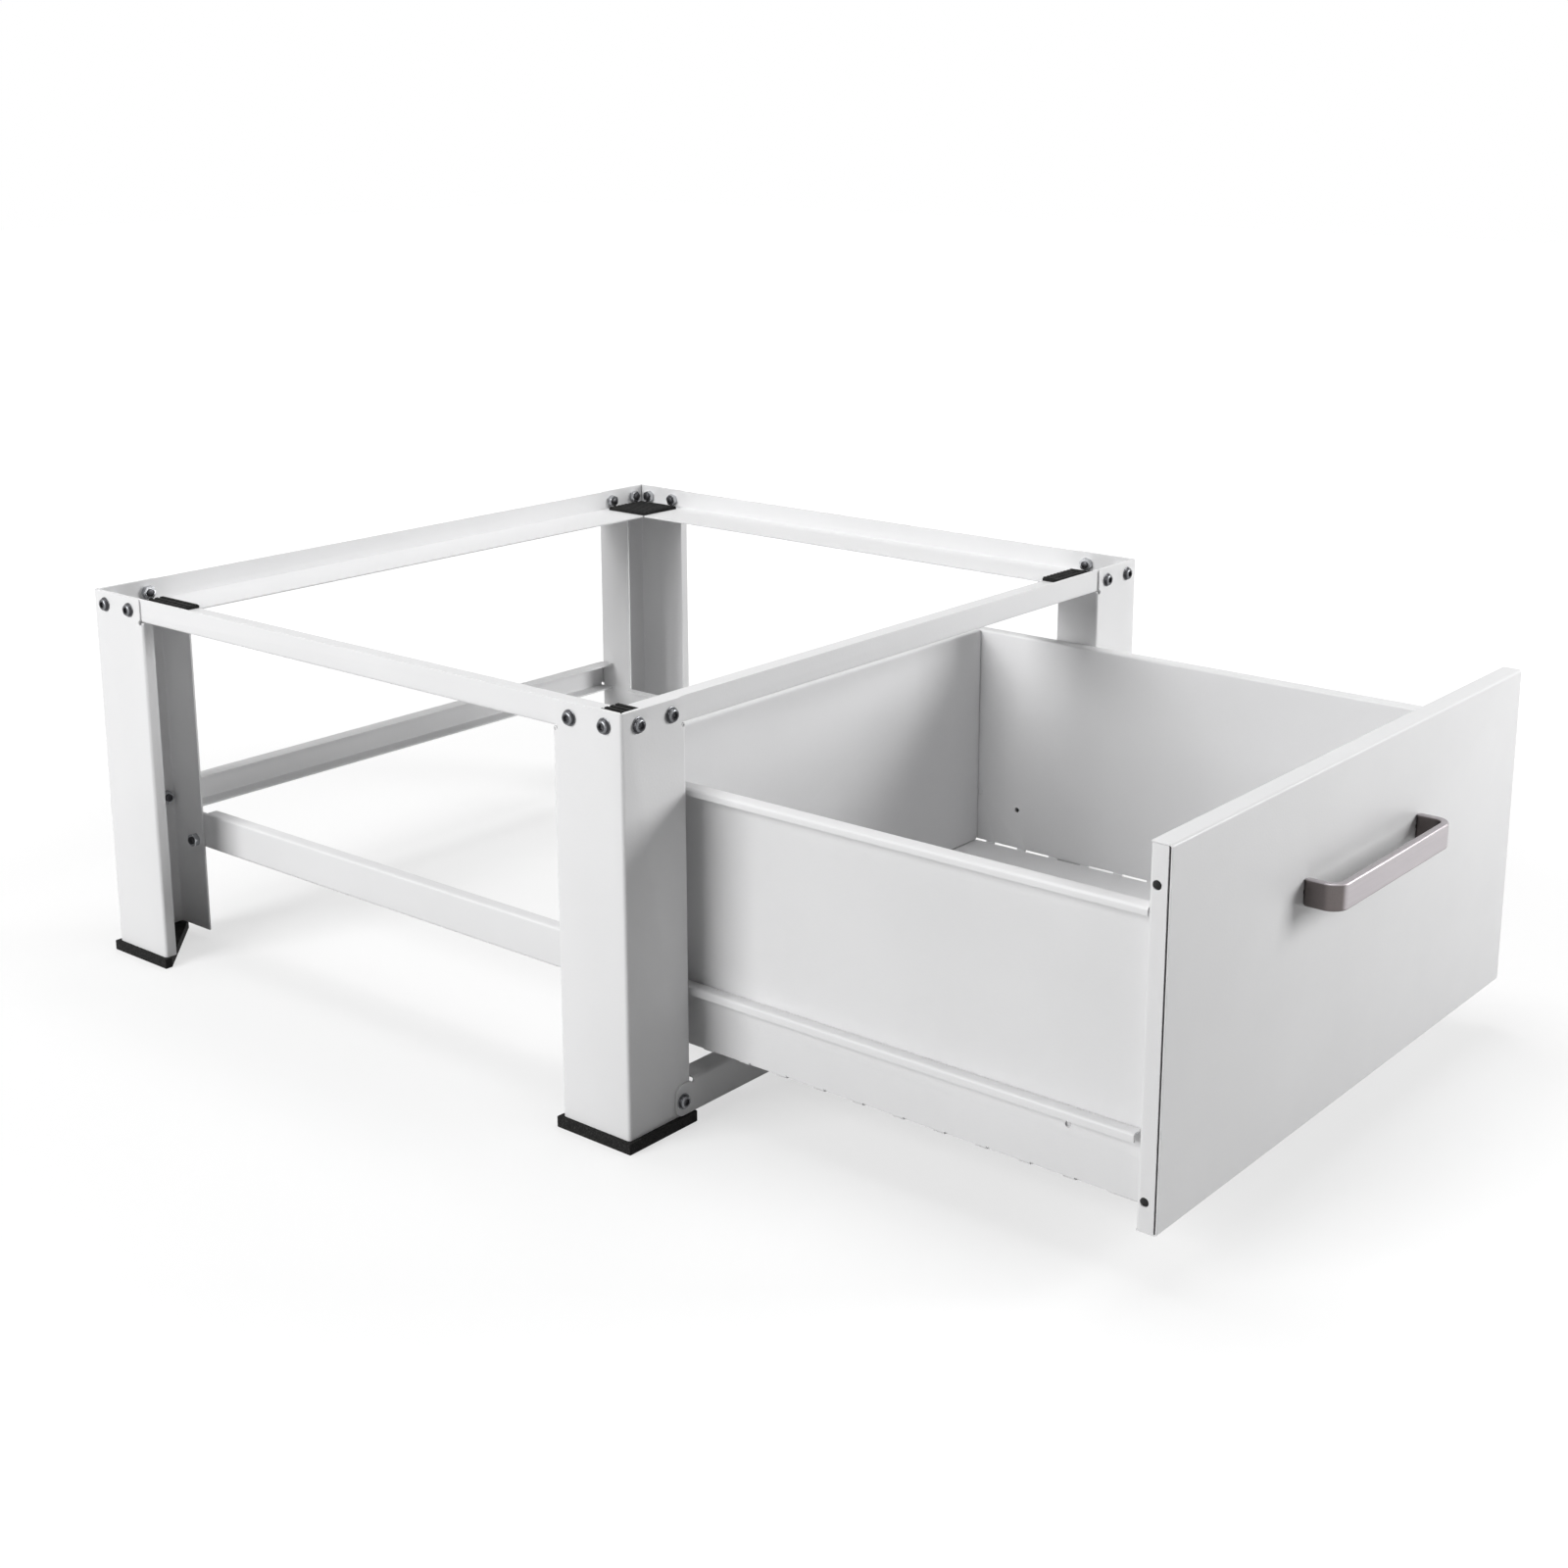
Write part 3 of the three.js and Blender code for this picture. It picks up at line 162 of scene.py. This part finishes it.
class Finish:
    """A node material that is built step by step on one Principled shader."""

    def __init__(self, name, color, roughness, metallic=0.0):
        self.material = bpy.data.materials.new(name)
        self.material.use_nodes = True
        self.tree = self.material.node_tree
        self.shader = self.tree.nodes["Principled BSDF"]
        self.place = self.add("ShaderNodeTexCoord").outputs["Object"]
        self.normal = None
        self.set({"Base Color": opaque(color), "Roughness": roughness, "Metallic": metallic})

    def add(self, kind, inputs=None, **settings):
        """A new node in this material."""
        return add_node(self.tree, kind, inputs, **settings)

    def set(self, inputs):
        """Values or outputs for the shader's own sockets."""
        fill(self.shader, inputs)

    def noise(self, scale, detail, stretch=(1, 1, 1), roughness=0.5):
        """Noise over the object's own place, scale in features per metre."""
        mapping = self.add("ShaderNodeMapping", {"Scale": stretch, "Vector": self.place})
        noise = self.add("ShaderNodeTexNoise", {
            "Vector": mapping.outputs["Vector"],
            "Scale": scale,
            "Detail": detail,
            "Roughness": roughness,
        })
        return noise.outputs["Fac"]

    def ramp(self, value, low, high, start=0.3, end=0.7):
        """A value turned into a colour or a grey between low and high."""
        ramp = self.add("ShaderNodeValToRGB", {"Fac": value})
        for stop, position, color in zip(ramp.color_ramp.elements, (start, end), (low, high)):
            stop.position = position
            stop.color = opaque(color)
        return ramp.outputs["Color"]

    def blend(self, value, start, end, low=0.0):
        """A smooth rise from low to one while a value goes from start to end."""
        limits = {"Value": value, "From Min": start, "From Max": end, "To Min": low}
        rise = self.add("ShaderNodeMapRange", limits, interpolation_type="SMOOTHSTEP")
        return rise.outputs["Result"]

    def bump(self, height, distance, strength):
        """One more bump over the earlier ones, its distance in metres."""
        inputs = {"Height": height, "Distance": distance, "Strength": strength}
        if self.normal is not None:
            inputs["Normal"] = self.normal
        self.normal = self.add("ShaderNodeBump", inputs).outputs["Normal"]
        self.set({"Normal": self.normal})


def powder_coat(name, color):
    """Satin powder coat: orange peel, fine grains, and faint cloudiness in tone and gloss."""
    finish = Finish(name, color, roughness=0.42)
    cloud = finish.noise(scale=9, detail=3)
    gloss = finish.noise(scale=60, detail=3)
    finish.set({
        "Base Color": finish.ramp(cloud, shade(color, 0.965), color),
        "Roughness": finish.ramp(gloss, 0.37, 0.47),
        "Specular IOR Level": 0.4,
    })
    finish.bump(finish.noise(scale=650, detail=2), distance=0.0004, strength=0.18)
    finish.bump(finish.noise(scale=2600, detail=1), distance=0.0002, strength=0.10)
    return finish.material


def foam_rubber(name):
    """Black cellular rubber with small pale specks."""
    black = (0.018, 0.018, 0.018)
    cell = (0.008, 0.008, 0.008)
    speck = (0.055, 0.054, 0.052)
    finish = Finish(name, black, roughness=0.82)
    specks = finish.noise(scale=1500, detail=2)
    gloss = finish.noise(scale=300, detail=2)
    finish.set({
        "Base Color": finish.ramp(specks, cell, speck, start=0.5, end=0.78),
        "Roughness": finish.ramp(gloss, 0.74, 0.9),
        "Specular IOR Level": 0.15,
    })
    finish.bump(specks, distance=0.0006, strength=0.5)
    finish.bump(finish.noise(scale=300, detail=3), distance=0.0005, strength=0.25)
    return finish.material


def zinc(name, color, roughness):
    """Zinc plating, a little uneven in tone, gloss and surface."""
    finish = Finish(name, color, roughness, metallic=1.0)
    tone = finish.noise(scale=260, detail=3)
    gloss = finish.noise(scale=900, detail=2)
    finish.set({
        "Base Color": finish.ramp(tone, shade(color, 0.82), color),
        "Roughness": finish.ramp(gloss, roughness * 0.8, roughness * 1.35),
    })
    finish.bump(finish.noise(scale=1800, detail=2), distance=0.0001, strength=0.15)
    return finish.material


def satin_metal_with_painted_shade(name):
    """The handle's brushed satin metal: pale on the faces that point to the front or up, and painted
    shade on all its other faces (its ends, underside and inside).
    """
    brushed = (0.415, 0.388, 0.403)
    # painted shade for the faces that point neither to the front nor up
    painted_shade_tone = (0.16, 0.142, 0.14)
    finish = Finish(name, brushed, roughness=0.36, metallic=1.0)
    grain = finish.noise(scale=90, detail=4, stretch=(0.35, 26, 26), roughness=0.6)
    normal = finish.add("ShaderNodeTexCoord").outputs["Normal"]
    facing = finish.add("ShaderNodeSeparateXYZ", {"Vector": normal})
    # Faces that point to the front or up keep the pale tone; the rest get painted shade, darker than
    # the metal is.
    front = finish.blend(facing.outputs["Y"], start=-0.85, end=-1.0)
    top = finish.blend(facing.outputs["Z"], start=0.3, end=0.8)
    tone = finish.add("ShaderNodeMix", {
        "Factor": combine(finish.tree, "MAXIMUM", front, top),
        "A": finish.ramp(grain, shade(painted_shade_tone, 0.8), painted_shade_tone),
        "B": finish.ramp(grain, shade(brushed, 0.86), brushed),
    }, data_type="RGBA")
    finish.set({
        "Base Color": tone.outputs["Result"],
        "Roughness": finish.ramp(grain, 0.31, 0.43),
    })
    finish.bump(grain, distance=0.00008, strength=0.25)
    return finish.material


def nylon(name):
    """White moulded nylon."""
    white = (0.78, 0.78, 0.75)
    finish = Finish(name, white, roughness=0.45)
    tone = finish.noise(scale=120, detail=2)
    finish.set({
        "Base Color": finish.ramp(tone, shade(white, 0.95), white),
        "Subsurface Weight": 0.08,
        "Subsurface Scale": 0.002,
    })
    finish.bump(finish.noise(scale=1400, detail=2), distance=0.0002, strength=0.1)
    return finish.material


FRAME_COAT = powder_coat("frame_powder_coat", (0.80, 0.80, 0.805))
DRAWER_COAT = powder_coat("drawer_powder_coat", (0.765, 0.765, 0.77))
RUBBER = foam_rubber("black_foam_rubber")
ZINC = zinc("bright_zinc", (0.54, 0.55, 0.57), 0.2)
# A near-black zinc for painted shade: on the bolts' flange walls, flanks, crowns, socket walls and
# threads, and in the screws' recesses.
PAINTED_SHADE_ZINC = zinc("shaded_zinc", (0.07, 0.07, 0.075), 0.35)
# A darker zinc for a painted dark reflection on the bolt heads' domes and flange tops.
PAINTED_DARK_REFLECTION_ZINC = zinc("zinc_painted_dark_reflection", (0.20, 0.205, 0.215), 0.28)
HANDLE_METAL = satin_metal_with_painted_shade("satin_handle_metal_painted_shade")
NYLON = nylon("white_nylon")

# ---------------------------------------------------------------------------------------------
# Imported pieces: their finishes, and soft edges on the sheet metal and the rubber
# ---------------------------------------------------------------------------------------------

UNSOFTENED = ("bolt", "screw", "axle", "roller", "handle")  # turned, or replaced further down
EDGE_ROUNDING_MM = {
    "leg": 0.35,
    "foot": 0.6,
    "pad": 0.2,
    "top": 0.3,
    "crossbar": 0.3,
    "slide": 0.3,
    "drawer": 0.22,
}
EDGE_ANGLE = math.radians(40)  # from this angle on, an edge is rounded
FLAT_ANGLE = math.radians(1)  # below this angle, neighbouring faces are one
WELD_DISTANCE = 1e-6


def finish_for(name):
    """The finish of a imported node, by its name."""
    if name.startswith(("foot", "pad")):
        return RUBBER
    if any(word in name for word in ("bolt", "screw", "axle")):
        return ZINC
    if "roller" in name:
        return NYLON
    if name == "drawer_handle":
        return HANDLE_METAL
    return DRAWER_COAT if name.startswith("drawer") else FRAME_COAT


def even_shading():
    """A node group that drops stored corner normals and shades smooth."""
    group = bpy.data.node_groups.new("even_shading", "GeometryNodeTree")
    for way in ("INPUT", "OUTPUT"):
        group.interface.new_socket("Geometry", in_out=way, socket_type="NodeSocketGeometry")
    start = add_node(group, "NodeGroupInput")
    bare = add_node(group, "GeometryNodeRemoveAttribute", {
        "Geometry": start.outputs["Geometry"],
        "Name": "custom_normal",
    })
    smooth = add_node(group, "GeometryNodeSetShadeSmooth", {"Geometry": bare.outputs["Geometry"]})
    add_node(group, "NodeGroupOutput", {"Geometry": smooth.outputs["Geometry"]})
    return group


EVEN_SHADING = even_shading()


def round_edges(piece, width, segments):
    """A bevel along all clear edges, which leaves flat faces flat in their shading."""
    bevel = piece.modifiers.new("bevel", "BEVEL")
    bevel.width = width
    bevel.segments = segments
    bevel.limit_method = "ANGLE"
    bevel.angle_limit = EDGE_ANGLE
    bevel.harden_normals = True


def soften(node, width):
    """Joins split corners and rounds the edges a little, so that they catch the light."""
    node.modifiers.new("shading", "NODES").node_group = EVEN_SHADING
    node.modifiers.new("weld", "WELD").merge_threshold = WELD_DISTANCE
    flatten = node.modifiers.new("flatten", "DECIMATE")
    flatten.decimate_type = "DISSOLVE"
    flatten.angle_limit = FLAT_ANGLE
    round_edges(node, width, segments=2)


for name, node in NODES.items():
    node.material_slots[0].material = finish_for(name)
    if not any(word in name for word in UNSOFTENED):
        soften(node, EDGE_ROUNDING_MM[name.split("_")[0]] * MM)

# ---------------------------------------------------------------------------------------------
# Mesh tools
# ---------------------------------------------------------------------------------------------

SHARP_ANGLE = math.radians(35)  # from this angle on, an edge is a clear one
QUARTER = math.pi / 2  # a quarter of a turn
SIXTH = math.pi / 3  # a sixth of one


def angles(count):
    """Evenly spread angles, once round."""
    return [2 * math.pi * i / count for i in range(count)]


def hexagon(radius, segments):
    """How far a hexagon reaches from its middle, at evenly spread angles."""
    flat = radius * math.cos(SIXTH / 2)
    return [flat / math.cos((angle + SIXTH / 2) % SIXTH - SIXTH / 2) for angle in angles(segments)]


def ring(bm, height, reaches):
    """Corners round Z at a height, one for each reach, at evenly spread angles."""
    return [
        bm.verts.new((reach * math.cos(angle), reach * math.sin(angle), height))
        for reach, angle in zip(reaches, angles(len(reaches)))
    ]


def turned(bm, profile, segments):
    """Rings round Z for (radius, height) points. A point on the axis is a single corner."""
    return [ring(bm, height, [radius] * (segments if radius else 1)) for radius, height in profile]


def loft(bm, rings, material=0, closed=False):
    """Faces from each ring to the next, and from the last to the first where it is closed."""
    following = rings[1:] + rings[:1] if closed else rings[1:]
    for low, high in zip(rings, following):
        count = max(len(low), len(high))
        for i in range(count):
            j = (i + 1) % count
            corners = [
                low[i % len(low)],
                low[j % len(low)],
                high[j % len(high)],
                high[i % len(high)],
            ]
            face = bm.faces.new(list(dict.fromkeys(corners)))
            face.material_index = material


def dome(outer, inner, low, high, steps):
    """A profile that curves from the outer radius, low down, to the inner one at its top."""
    profile = []
    for step in range(steps + 1):
        angle = QUARTER * step / steps
        radius = inner + (outer - inner) * math.cos(angle)
        profile.append((radius, low + (high - low) * math.sin(angle)))
    return profile


def to_mesh(name, bm, *materials):
    """A smooth mesh from a bmesh, with its normals outwards and its materials in place."""
    bmesh.ops.recalc_face_normals(bm, faces=bm.faces)
    mesh = bpy.data.meshes.new(name)
    bm.to_mesh(mesh)
    bm.free()
    for material in materials:
        mesh.materials.append(material)
    mesh.shade_smooth()
    return mesh


def turned_mesh(name, bm, *materials):
    """The same for a turned piece, whose clear edges stay sharp in its shading."""
    mesh = to_mesh(name, bm, *materials)
    mesh.set_sharp_from_angle(angle=SHARP_ANGLE)
    return mesh


def turn_to(outward):
    """The turn that takes +Z to an outward direction."""
    return Vector((0, 0, 1)).rotation_difference(Vector(outward)).to_matrix().to_4x4()


def add_piece(name, mesh, body, node, place=None):
    """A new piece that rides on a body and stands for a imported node, moved to a place if given."""
    piece = bpy.data.objects.new(name, mesh)
    show(piece)
    if place is not None:
        piece.matrix_world = place
    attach(piece, body)
    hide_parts(node)
    return piece


# ---------------------------------------------------------------------------------------------
# Bolts with their nuts
# ---------------------------------------------------------------------------------------------

BRIGHT, PAINTED_SHADE, PAINTED_DARK_REFLECTION = range(3)  # the materials of bolts and screws, in slot order: plain zinc, painted shade, and a painted dark reflection
BOLT_SEGMENTS = 36
HEAD_RADIUS = 5.6 * MM
HEAD_HEIGHT = 3.3 * MM
SEAT_RADIUS = HEAD_RADIUS * 0.97
FLANGE_HEIGHT = 0.5 * MM
FLANGE_CHAMFER = 0.1 * MM
RIM_CHAMFER = 0.15 * MM
DOME_FOOT = HEAD_RADIUS - 0.6 * MM
DOME_STEPS = 8
FLANK_STEPS = 4  # the lower steps of the dome, which are steep and take painted shade
SOCKET_RADIUS = 2.4 * MM
SOCKET_DEPTH = 2.1 * MM
SOCKET_TIP_DEPTH = SOCKET_DEPTH * 1.15
CROWN_RADIUS = SOCKET_RADIUS * 1.3
THREAD_RADIUS = 3.0 * MM
THREAD_PITCH = 1.0 * MM
THREAD_DEPTH = 0.45 * MM
THREAD_TIP_RADIUS = THREAD_RADIUS - THREAD_DEPTH * 1.6
GRIP = 3.3 * MM  # from the seat of the head to the nut
NUT_SEGMENTS = 48
NUT_RADIUS = 5.6 * MM
NUT_FACE_RADIUS = NUT_RADIUS * 0.9215  # the round face that is left where the corners are cut
NUT_CHAMFER = 0.5 * MM
NUT_HEIGHT = 4.6 * MM
NUT_BORE = THREAD_RADIUS + 0.05 * MM
PAST_NUT = 1.4 * MM
BOLT_LENGTH = GRIP + NUT_HEIGHT + PAST_NUT
BOLT_TURN = 37  # degrees from one bolt to the next, so that no two sockets stand alike
SOCKET_REPEAT = 60  # degrees after which a socket looks the same


def thread():
    """The profile of a bolt's threads, from its tip up to the seat of its head."""
    profile = [(0, -BOLT_LENGTH), (THREAD_TIP_RADIUS, -BOLT_LENGTH)]
    for turn in range(int(BOLT_LENGTH / THREAD_PITCH), 0, -1):
        profile.append((THREAD_RADIUS, -turn * THREAD_PITCH))
        profile.append((THREAD_RADIUS - THREAD_DEPTH, (0.5 - turn) * THREAD_PITCH))
    return profile + [(THREAD_RADIUS, 0)]


def add_nut(bm):
    """A hexagonal nut under the grip, its corners cut by a cone at both ends."""
    low = -GRIP - NUT_HEIGHT
    high = -GRIP
    bore = [NUT_BORE] * NUT_SEGMENTS
    sides = hexagon(NUT_RADIUS, NUT_SEGMENTS)
    cut = [min(reach, NUT_FACE_RADIUS) for reach in sides]
    rings = [
        ring(bm, low, bore),
        ring(bm, low, cut),
        ring(bm, low + NUT_CHAMFER, sides),
        ring(bm, high - NUT_CHAMFER, sides),
        ring(bm, high, cut),
        ring(bm, high, bore),
    ]
    loft(bm, rings, BRIGHT, closed=True)


def bolt_mesh():
    """A button-head socket bolt with its nut, head up, about the seat of its head."""
    bm = bmesh.new()
    wall = [
        (SEAT_RADIUS, 0),
        (HEAD_RADIUS, RIM_CHAMFER),
        (HEAD_RADIUS, FLANGE_HEIGHT - FLANGE_CHAMFER),
    ]
    curve = dome(DOME_FOOT, CROWN_RADIUS, FLANGE_HEIGHT, HEAD_HEIGHT, DOME_STEPS)
    shaft = turned(bm, thread() + wall, BOLT_SEGMENTS)
    brim = turned(bm, [(HEAD_RADIUS - RIM_CHAMFER, FLANGE_HEIGHT)], BOLT_SEGMENTS)
    button = turned(bm, curve, BOLT_SEGMENTS)
    socket = hexagon(SOCKET_RADIUS, BOLT_SEGMENTS)
    mouth = ring(bm, HEAD_HEIGHT, socket)
    base = ring(bm, HEAD_HEIGHT - SOCKET_DEPTH, socket)
    tip = ring(bm, HEAD_HEIGHT - SOCKET_TIP_DEPTH, [0])
    # Painted shade on the threads and flange wall, on the steep flank, the crown and the socket
    # walls; a painted dark reflection on the flange top and the upper dome; the socket floor and the
    # nut are plain zinc.
    loft(bm, shaft, PAINTED_SHADE)
    loft(bm, shaft[-1:] + brim + button[:1], PAINTED_DARK_REFLECTION)
    loft(bm, button[:FLANK_STEPS + 1], PAINTED_SHADE)
    loft(bm, button[FLANK_STEPS:], PAINTED_DARK_REFLECTION)
    loft(bm, [button[-1], mouth, base], PAINTED_SHADE)
    loft(bm, [base, tip], BRIGHT)
    add_nut(bm)
    return turned_mesh("bolt_with_nut", bm, ZINC, PAINTED_SHADE_ZINC, PAINTED_DARK_REFLECTION_ZINC)


def bolt_place(name):
    """Where a bolt's head seats, and the way its head points, from its packed box."""
    low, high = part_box(name)
    if high.x - low.x > high.y - low.y:
        axis = 0
        sign = -1 if "_left" in name else 1
    else:
        axis = 1
        sign = -1 if "_front" in name else 1
    if name.startswith("slide"):
        sign = -sign  # the slide rails' bolts have their heads on the inner side
    outward = Vector((0, 0, 0))
    outward[axis] = sign
    seat = (low + high) / 2
    seat[axis] = (high[axis] if sign > 0 else low[axis]) - sign * HEAD_HEIGHT
    return seat, outward


BOLT_MESH = bolt_mesh()
for index, name in enumerate(sorted(name for name in NODES if "_bolt_" in name)):
    seat, outward = bolt_place(name)
    spin = Matrix.Rotation(math.radians(BOLT_TURN * index % SOCKET_REPEAT), 4, "Z")
    place = Matrix.Translation(seat) @ turn_to(outward) @ spin
    add_piece(f"fine_{name}", BOLT_MESH.copy(), "frame", name, place)

# ---------------------------------------------------------------------------------------------
# Handle
# ---------------------------------------------------------------------------------------------

HANDLE_THICKNESS = 5.5 * MM
HANDLE_CORNER = 12 * MM
HANDLE_EDGE = 1.5 * MM
ARC_STEPS = 14


def arc(centre, radius, start, sweep):
    """Points on an arc in plan, both ends included."""
    points = []
    for step in range(ARC_STEPS + 1):
        angle = start + sweep * step / ARC_STEPS
        points.append((
            centre[0] + radius * math.cos(angle),
            centre[1] + radius * math.sin(angle),
        ))
    return points


def handle_mesh():
    """The bow handle: a rounded plan, drawn up over the height of its packed box."""
    low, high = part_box("drawer_handle")
    half = (high.x - low.x) / 2
    reach = high.y - low.y
    right = (half - HANDLE_CORNER, HANDLE_CORNER - reach)
    left = (-right[0], right[1])
    bend = HANDLE_CORNER - HANDLE_THICKNESS
    plan = [(-half, 0.0)]
    plan += arc(left, HANDLE_CORNER, math.pi, QUARTER)
    plan += arc(right, HANDLE_CORNER, -QUARTER, QUARTER)
    plan += [(half, 0.0), (half - HANDLE_THICKNESS, 0.0)]
    plan += arc(right, bend, 0.0, -QUARTER)
    plan += arc(left, bend, -QUARTER, -QUARTER)
    plan += [(HANDLE_THICKNESS - half, 0.0)]
    middle = (low.x + high.x) / 2
    bm = bmesh.new()
    bottom = [bm.verts.new((middle + x, high.y + y, low.z)) for x, y in plan]
    top = [bm.verts.new((middle + x, high.y + y, high.z)) for x, y in plan]
    bm.faces.new(bottom)
    bm.faces.new(top)
    loft(bm, [bottom, top])
    return to_mesh("handle", bm, HANDLE_METAL)


handle = add_piece("fine_handle", handle_mesh(), "drawer", "drawer_handle")
round_edges(handle, HANDLE_EDGE, segments=4)

# ---------------------------------------------------------------------------------------------
# Rollers
# ---------------------------------------------------------------------------------------------

ROLLER_SEGMENTS = 64
ROLLER_BORE = {"front": 1.9 * MM, "rear": 2.55 * MM}
SHOULDER = 0.8 * MM  # how far inside the tread a roller's flat sides end
TREAD_FALL = 0.25 * MM  # how much lower the tread is near its edges


def roller_mesh(radius, width, bore):
    """A nylon roller along Z: a crowned tread, recessed sides and a hub round its bore."""
    half = width / 2
    recess = width * 0.14
    hub = bore * 1.7
    hub_root = hub * 1.06
    lip = radius * 0.8
    lip_root = lip * 0.97
    side = [
        (bore, 0),
        (hub, 0),
        (hub_root, recess),
        (lip_root, recess),
        (lip, 0),
        (radius - SHOULDER, 0),
        (radius - TREAD_FALL, width * 0.09),
        (radius, width / 6),
    ]
    profile = [(out, depth - half) for out, depth in side]
    profile += [(out, half - depth) for out, depth in reversed(side)]
    bm = bmesh.new()
    loft(bm, turned(bm, profile, ROLLER_SEGMENTS), closed=True)
    return turned_mesh("roller", bm, NYLON)


for name in sorted(name for name in NODES if "roller" in name):
    low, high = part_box(name)
    mesh = roller_mesh((high.z - low.z) / 2, high.x - low.x, ROLLER_BORE[name.split("_")[0]])
    place = Matrix.Translation((low + high) / 2) @ turn_to((1, 0, 0))
    add_piece(f"fine_{name}", mesh, name, name, place)

# ---------------------------------------------------------------------------------------------
# Screws behind the handle
# ---------------------------------------------------------------------------------------------

SCREW_SEGMENTS = 48
SCREW_RADIUS = 4 * MM
SCREW_HEIGHT = 2.2 * MM
SCREW_RIM = 0.35 * MM
SHANK_RADIUS = 2 * MM
SHANK_LENGTH = 14 * MM
CROSS_ARM = 0.16  # half the width of an arm of the recess, as a share of its reach
CROSS_WAIST = 0.36  # the reach between the arms, as a share of theirs
CROSS_MOUTH = SCREW_RADIUS * 0.55
CROSS_BASE = SCREW_RADIUS * 0.3


def cross(size):
    """How far a cross recess reaches from its middle, at evenly spread angles."""
    reaches = []
    for angle in angles(SCREW_SEGMENTS):
        off_arm = min(abs(math.cos(angle)), abs(math.sin(angle)))
        reaches.append(size if off_arm < CROSS_ARM else size * CROSS_WAIST)
    return reaches


def screw_mesh():
    """A pan-head screw with a cross recess, head up, about the seat of its head."""
    bm = bmesh.new()
    profile = [
        (0, -SHANK_LENGTH),
        (SHANK_RADIUS, -SHANK_LENGTH),
        (SHANK_RADIUS, 0),
        (SCREW_RADIUS * 0.97, 0),
        (SCREW_RADIUS, 0.1 * MM),
    ]
    profile += dome(SCREW_RADIUS, SCREW_RADIUS * 0.62, SCREW_RIM, SCREW_HEIGHT, steps=5)
    rings = turned(bm, profile, SCREW_SEGMENTS)
    mouth = ring(bm, SCREW_HEIGHT, cross(CROSS_MOUTH))
    base = ring(bm, SCREW_HEIGHT * 0.45, cross(CROSS_BASE))
    tip = ring(bm, SCREW_HEIGHT * 0.35, [0])
    loft(bm, rings + [mouth], BRIGHT)
    # The cross recess takes painted shade.
    loft(bm, [mouth, base, tip], PAINTED_SHADE)
    return turned_mesh("pan_head_screw", bm, ZINC, PAINTED_SHADE_ZINC)


for name in sorted(name for name in NODES if "screw" in name):
    low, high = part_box(name)
    seat = Vector(((low.x + high.x) / 2, high.y - SCREW_HEIGHT, (low.z + high.z) / 2))
    place = Matrix.Translation(seat) @ turn_to((0, 1, 0))
    add_piece(f"fine_{name}", screw_mesh(), "drawer", name, place)

# ---------------------------------------------------------------------------------------------
# Floor, light and background
# ---------------------------------------------------------------------------------------------

WHITE = (1, 1, 1, 1)
WORLD_LIGHT = 0.03
FLOOR_REACH = 9  # from the middle of the floor to its sides
FLOOR_CELLS = 8
FLOOR_GREY = (0.37, 0.37, 0.37)
FLOOR_LIFT = 0.6  # the glow that the camera sees under the object, where its shadow lies
SHADOW_FADE = (0.6, 1.8)  # how far out the glow starts to rise, and where it is full
# name, place, target, side in metres, power in watts
SOFTBOXES = (
    ("left_softbox", (-2.8, 0.7, 1.35), (0, 0, 0.15), 1.6, 78),
    ("front_softbox", (1.45, -1.88, 0.88), (0.1, -0.45, 0.15), 0.95, 43),
    ("top_softbox", (0.1, 0.3, 2.8), (0, 0, 0.1), 1.6, 40),
)


def seen_directly(tree):
    """One for a ray from the camera, a mirror or a glass, and nought for the rest."""
    path = add_node(tree, "ShaderNodeLightPath")
    seen = path.outputs["Is Camera Ray"]
    for way in ("Is Glossy Ray", "Is Transmission Ray"):
        seen = combine(tree, "MAXIMUM", seen, path.outputs[way])
    return seen


def floor_finish():
    """A pale matt grey that glows white to the camera, less so round the object."""
    finish = Finish("pale_floor", FLOOR_GREY, roughness=0.9)
    away = finish.add("ShaderNodeVectorMath", {0: finish.place}, operation="LENGTH")
    fade = finish.blend(away.outputs["Value"], *SHADOW_FADE, low=FLOOR_LIFT)
    gloss = finish.noise(scale=3, detail=2)
    finish.set({
        "Roughness": finish.ramp(gloss, 0.86, 0.94),
        "Emission Color": WHITE,
        "Emission Strength": combine(finish.tree, "MULTIPLY", seen_directly(finish.tree), fade),
    })
    return finish.material


def add_floor():
    """A plain pale floor that shows white to the camera and keeps the object's shadow."""
    bm = bmesh.new()
    bmesh.ops.create_grid(bm, x_segments=FLOOR_CELLS, y_segments=FLOOR_CELLS, size=FLOOR_REACH)
    mesh = bpy.data.meshes.new("floor")
    bm.to_mesh(mesh)
    bm.free()
    mesh.materials.append(floor_finish())
    floor = bpy.data.objects.new("floor", mesh)
    show(floor)
    floor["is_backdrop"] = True


def add_world():
    """An even pale surround, white to the camera and in reflections."""
    world = bpy.data.worlds.new("studio")
    world.use_nodes = True
    bpy.context.scene.world = world
    tree = world.node_tree
    limits = {"Value": seen_directly(tree), "To Min": WORLD_LIGHT}
    strength = add_node(tree, "ShaderNodeMapRange", limits)
    fill(tree.nodes["Background"], {"Color": WHITE, "Strength": strength.outputs["Result"]})


def add_light(name, place, target, size, power):
    """A square soft light that faces a target."""
    data = bpy.data.lights.new(name, "AREA")
    data.shape = "SQUARE"
    data.size = size
    data.energy = power
    light = bpy.data.objects.new(name, data)
    show(light)
    light.location = place
    light.rotation_mode = "QUATERNION"
    light.rotation_quaternion = (Vector(target) - Vector(place)).to_track_quat("-Z", "Y")


add_floor()
add_world()
for softbox in SOFTBOXES:
    add_light(*softbox)
bpy.context.scene.view_settings.view_transform = "Standard"

low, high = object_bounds()
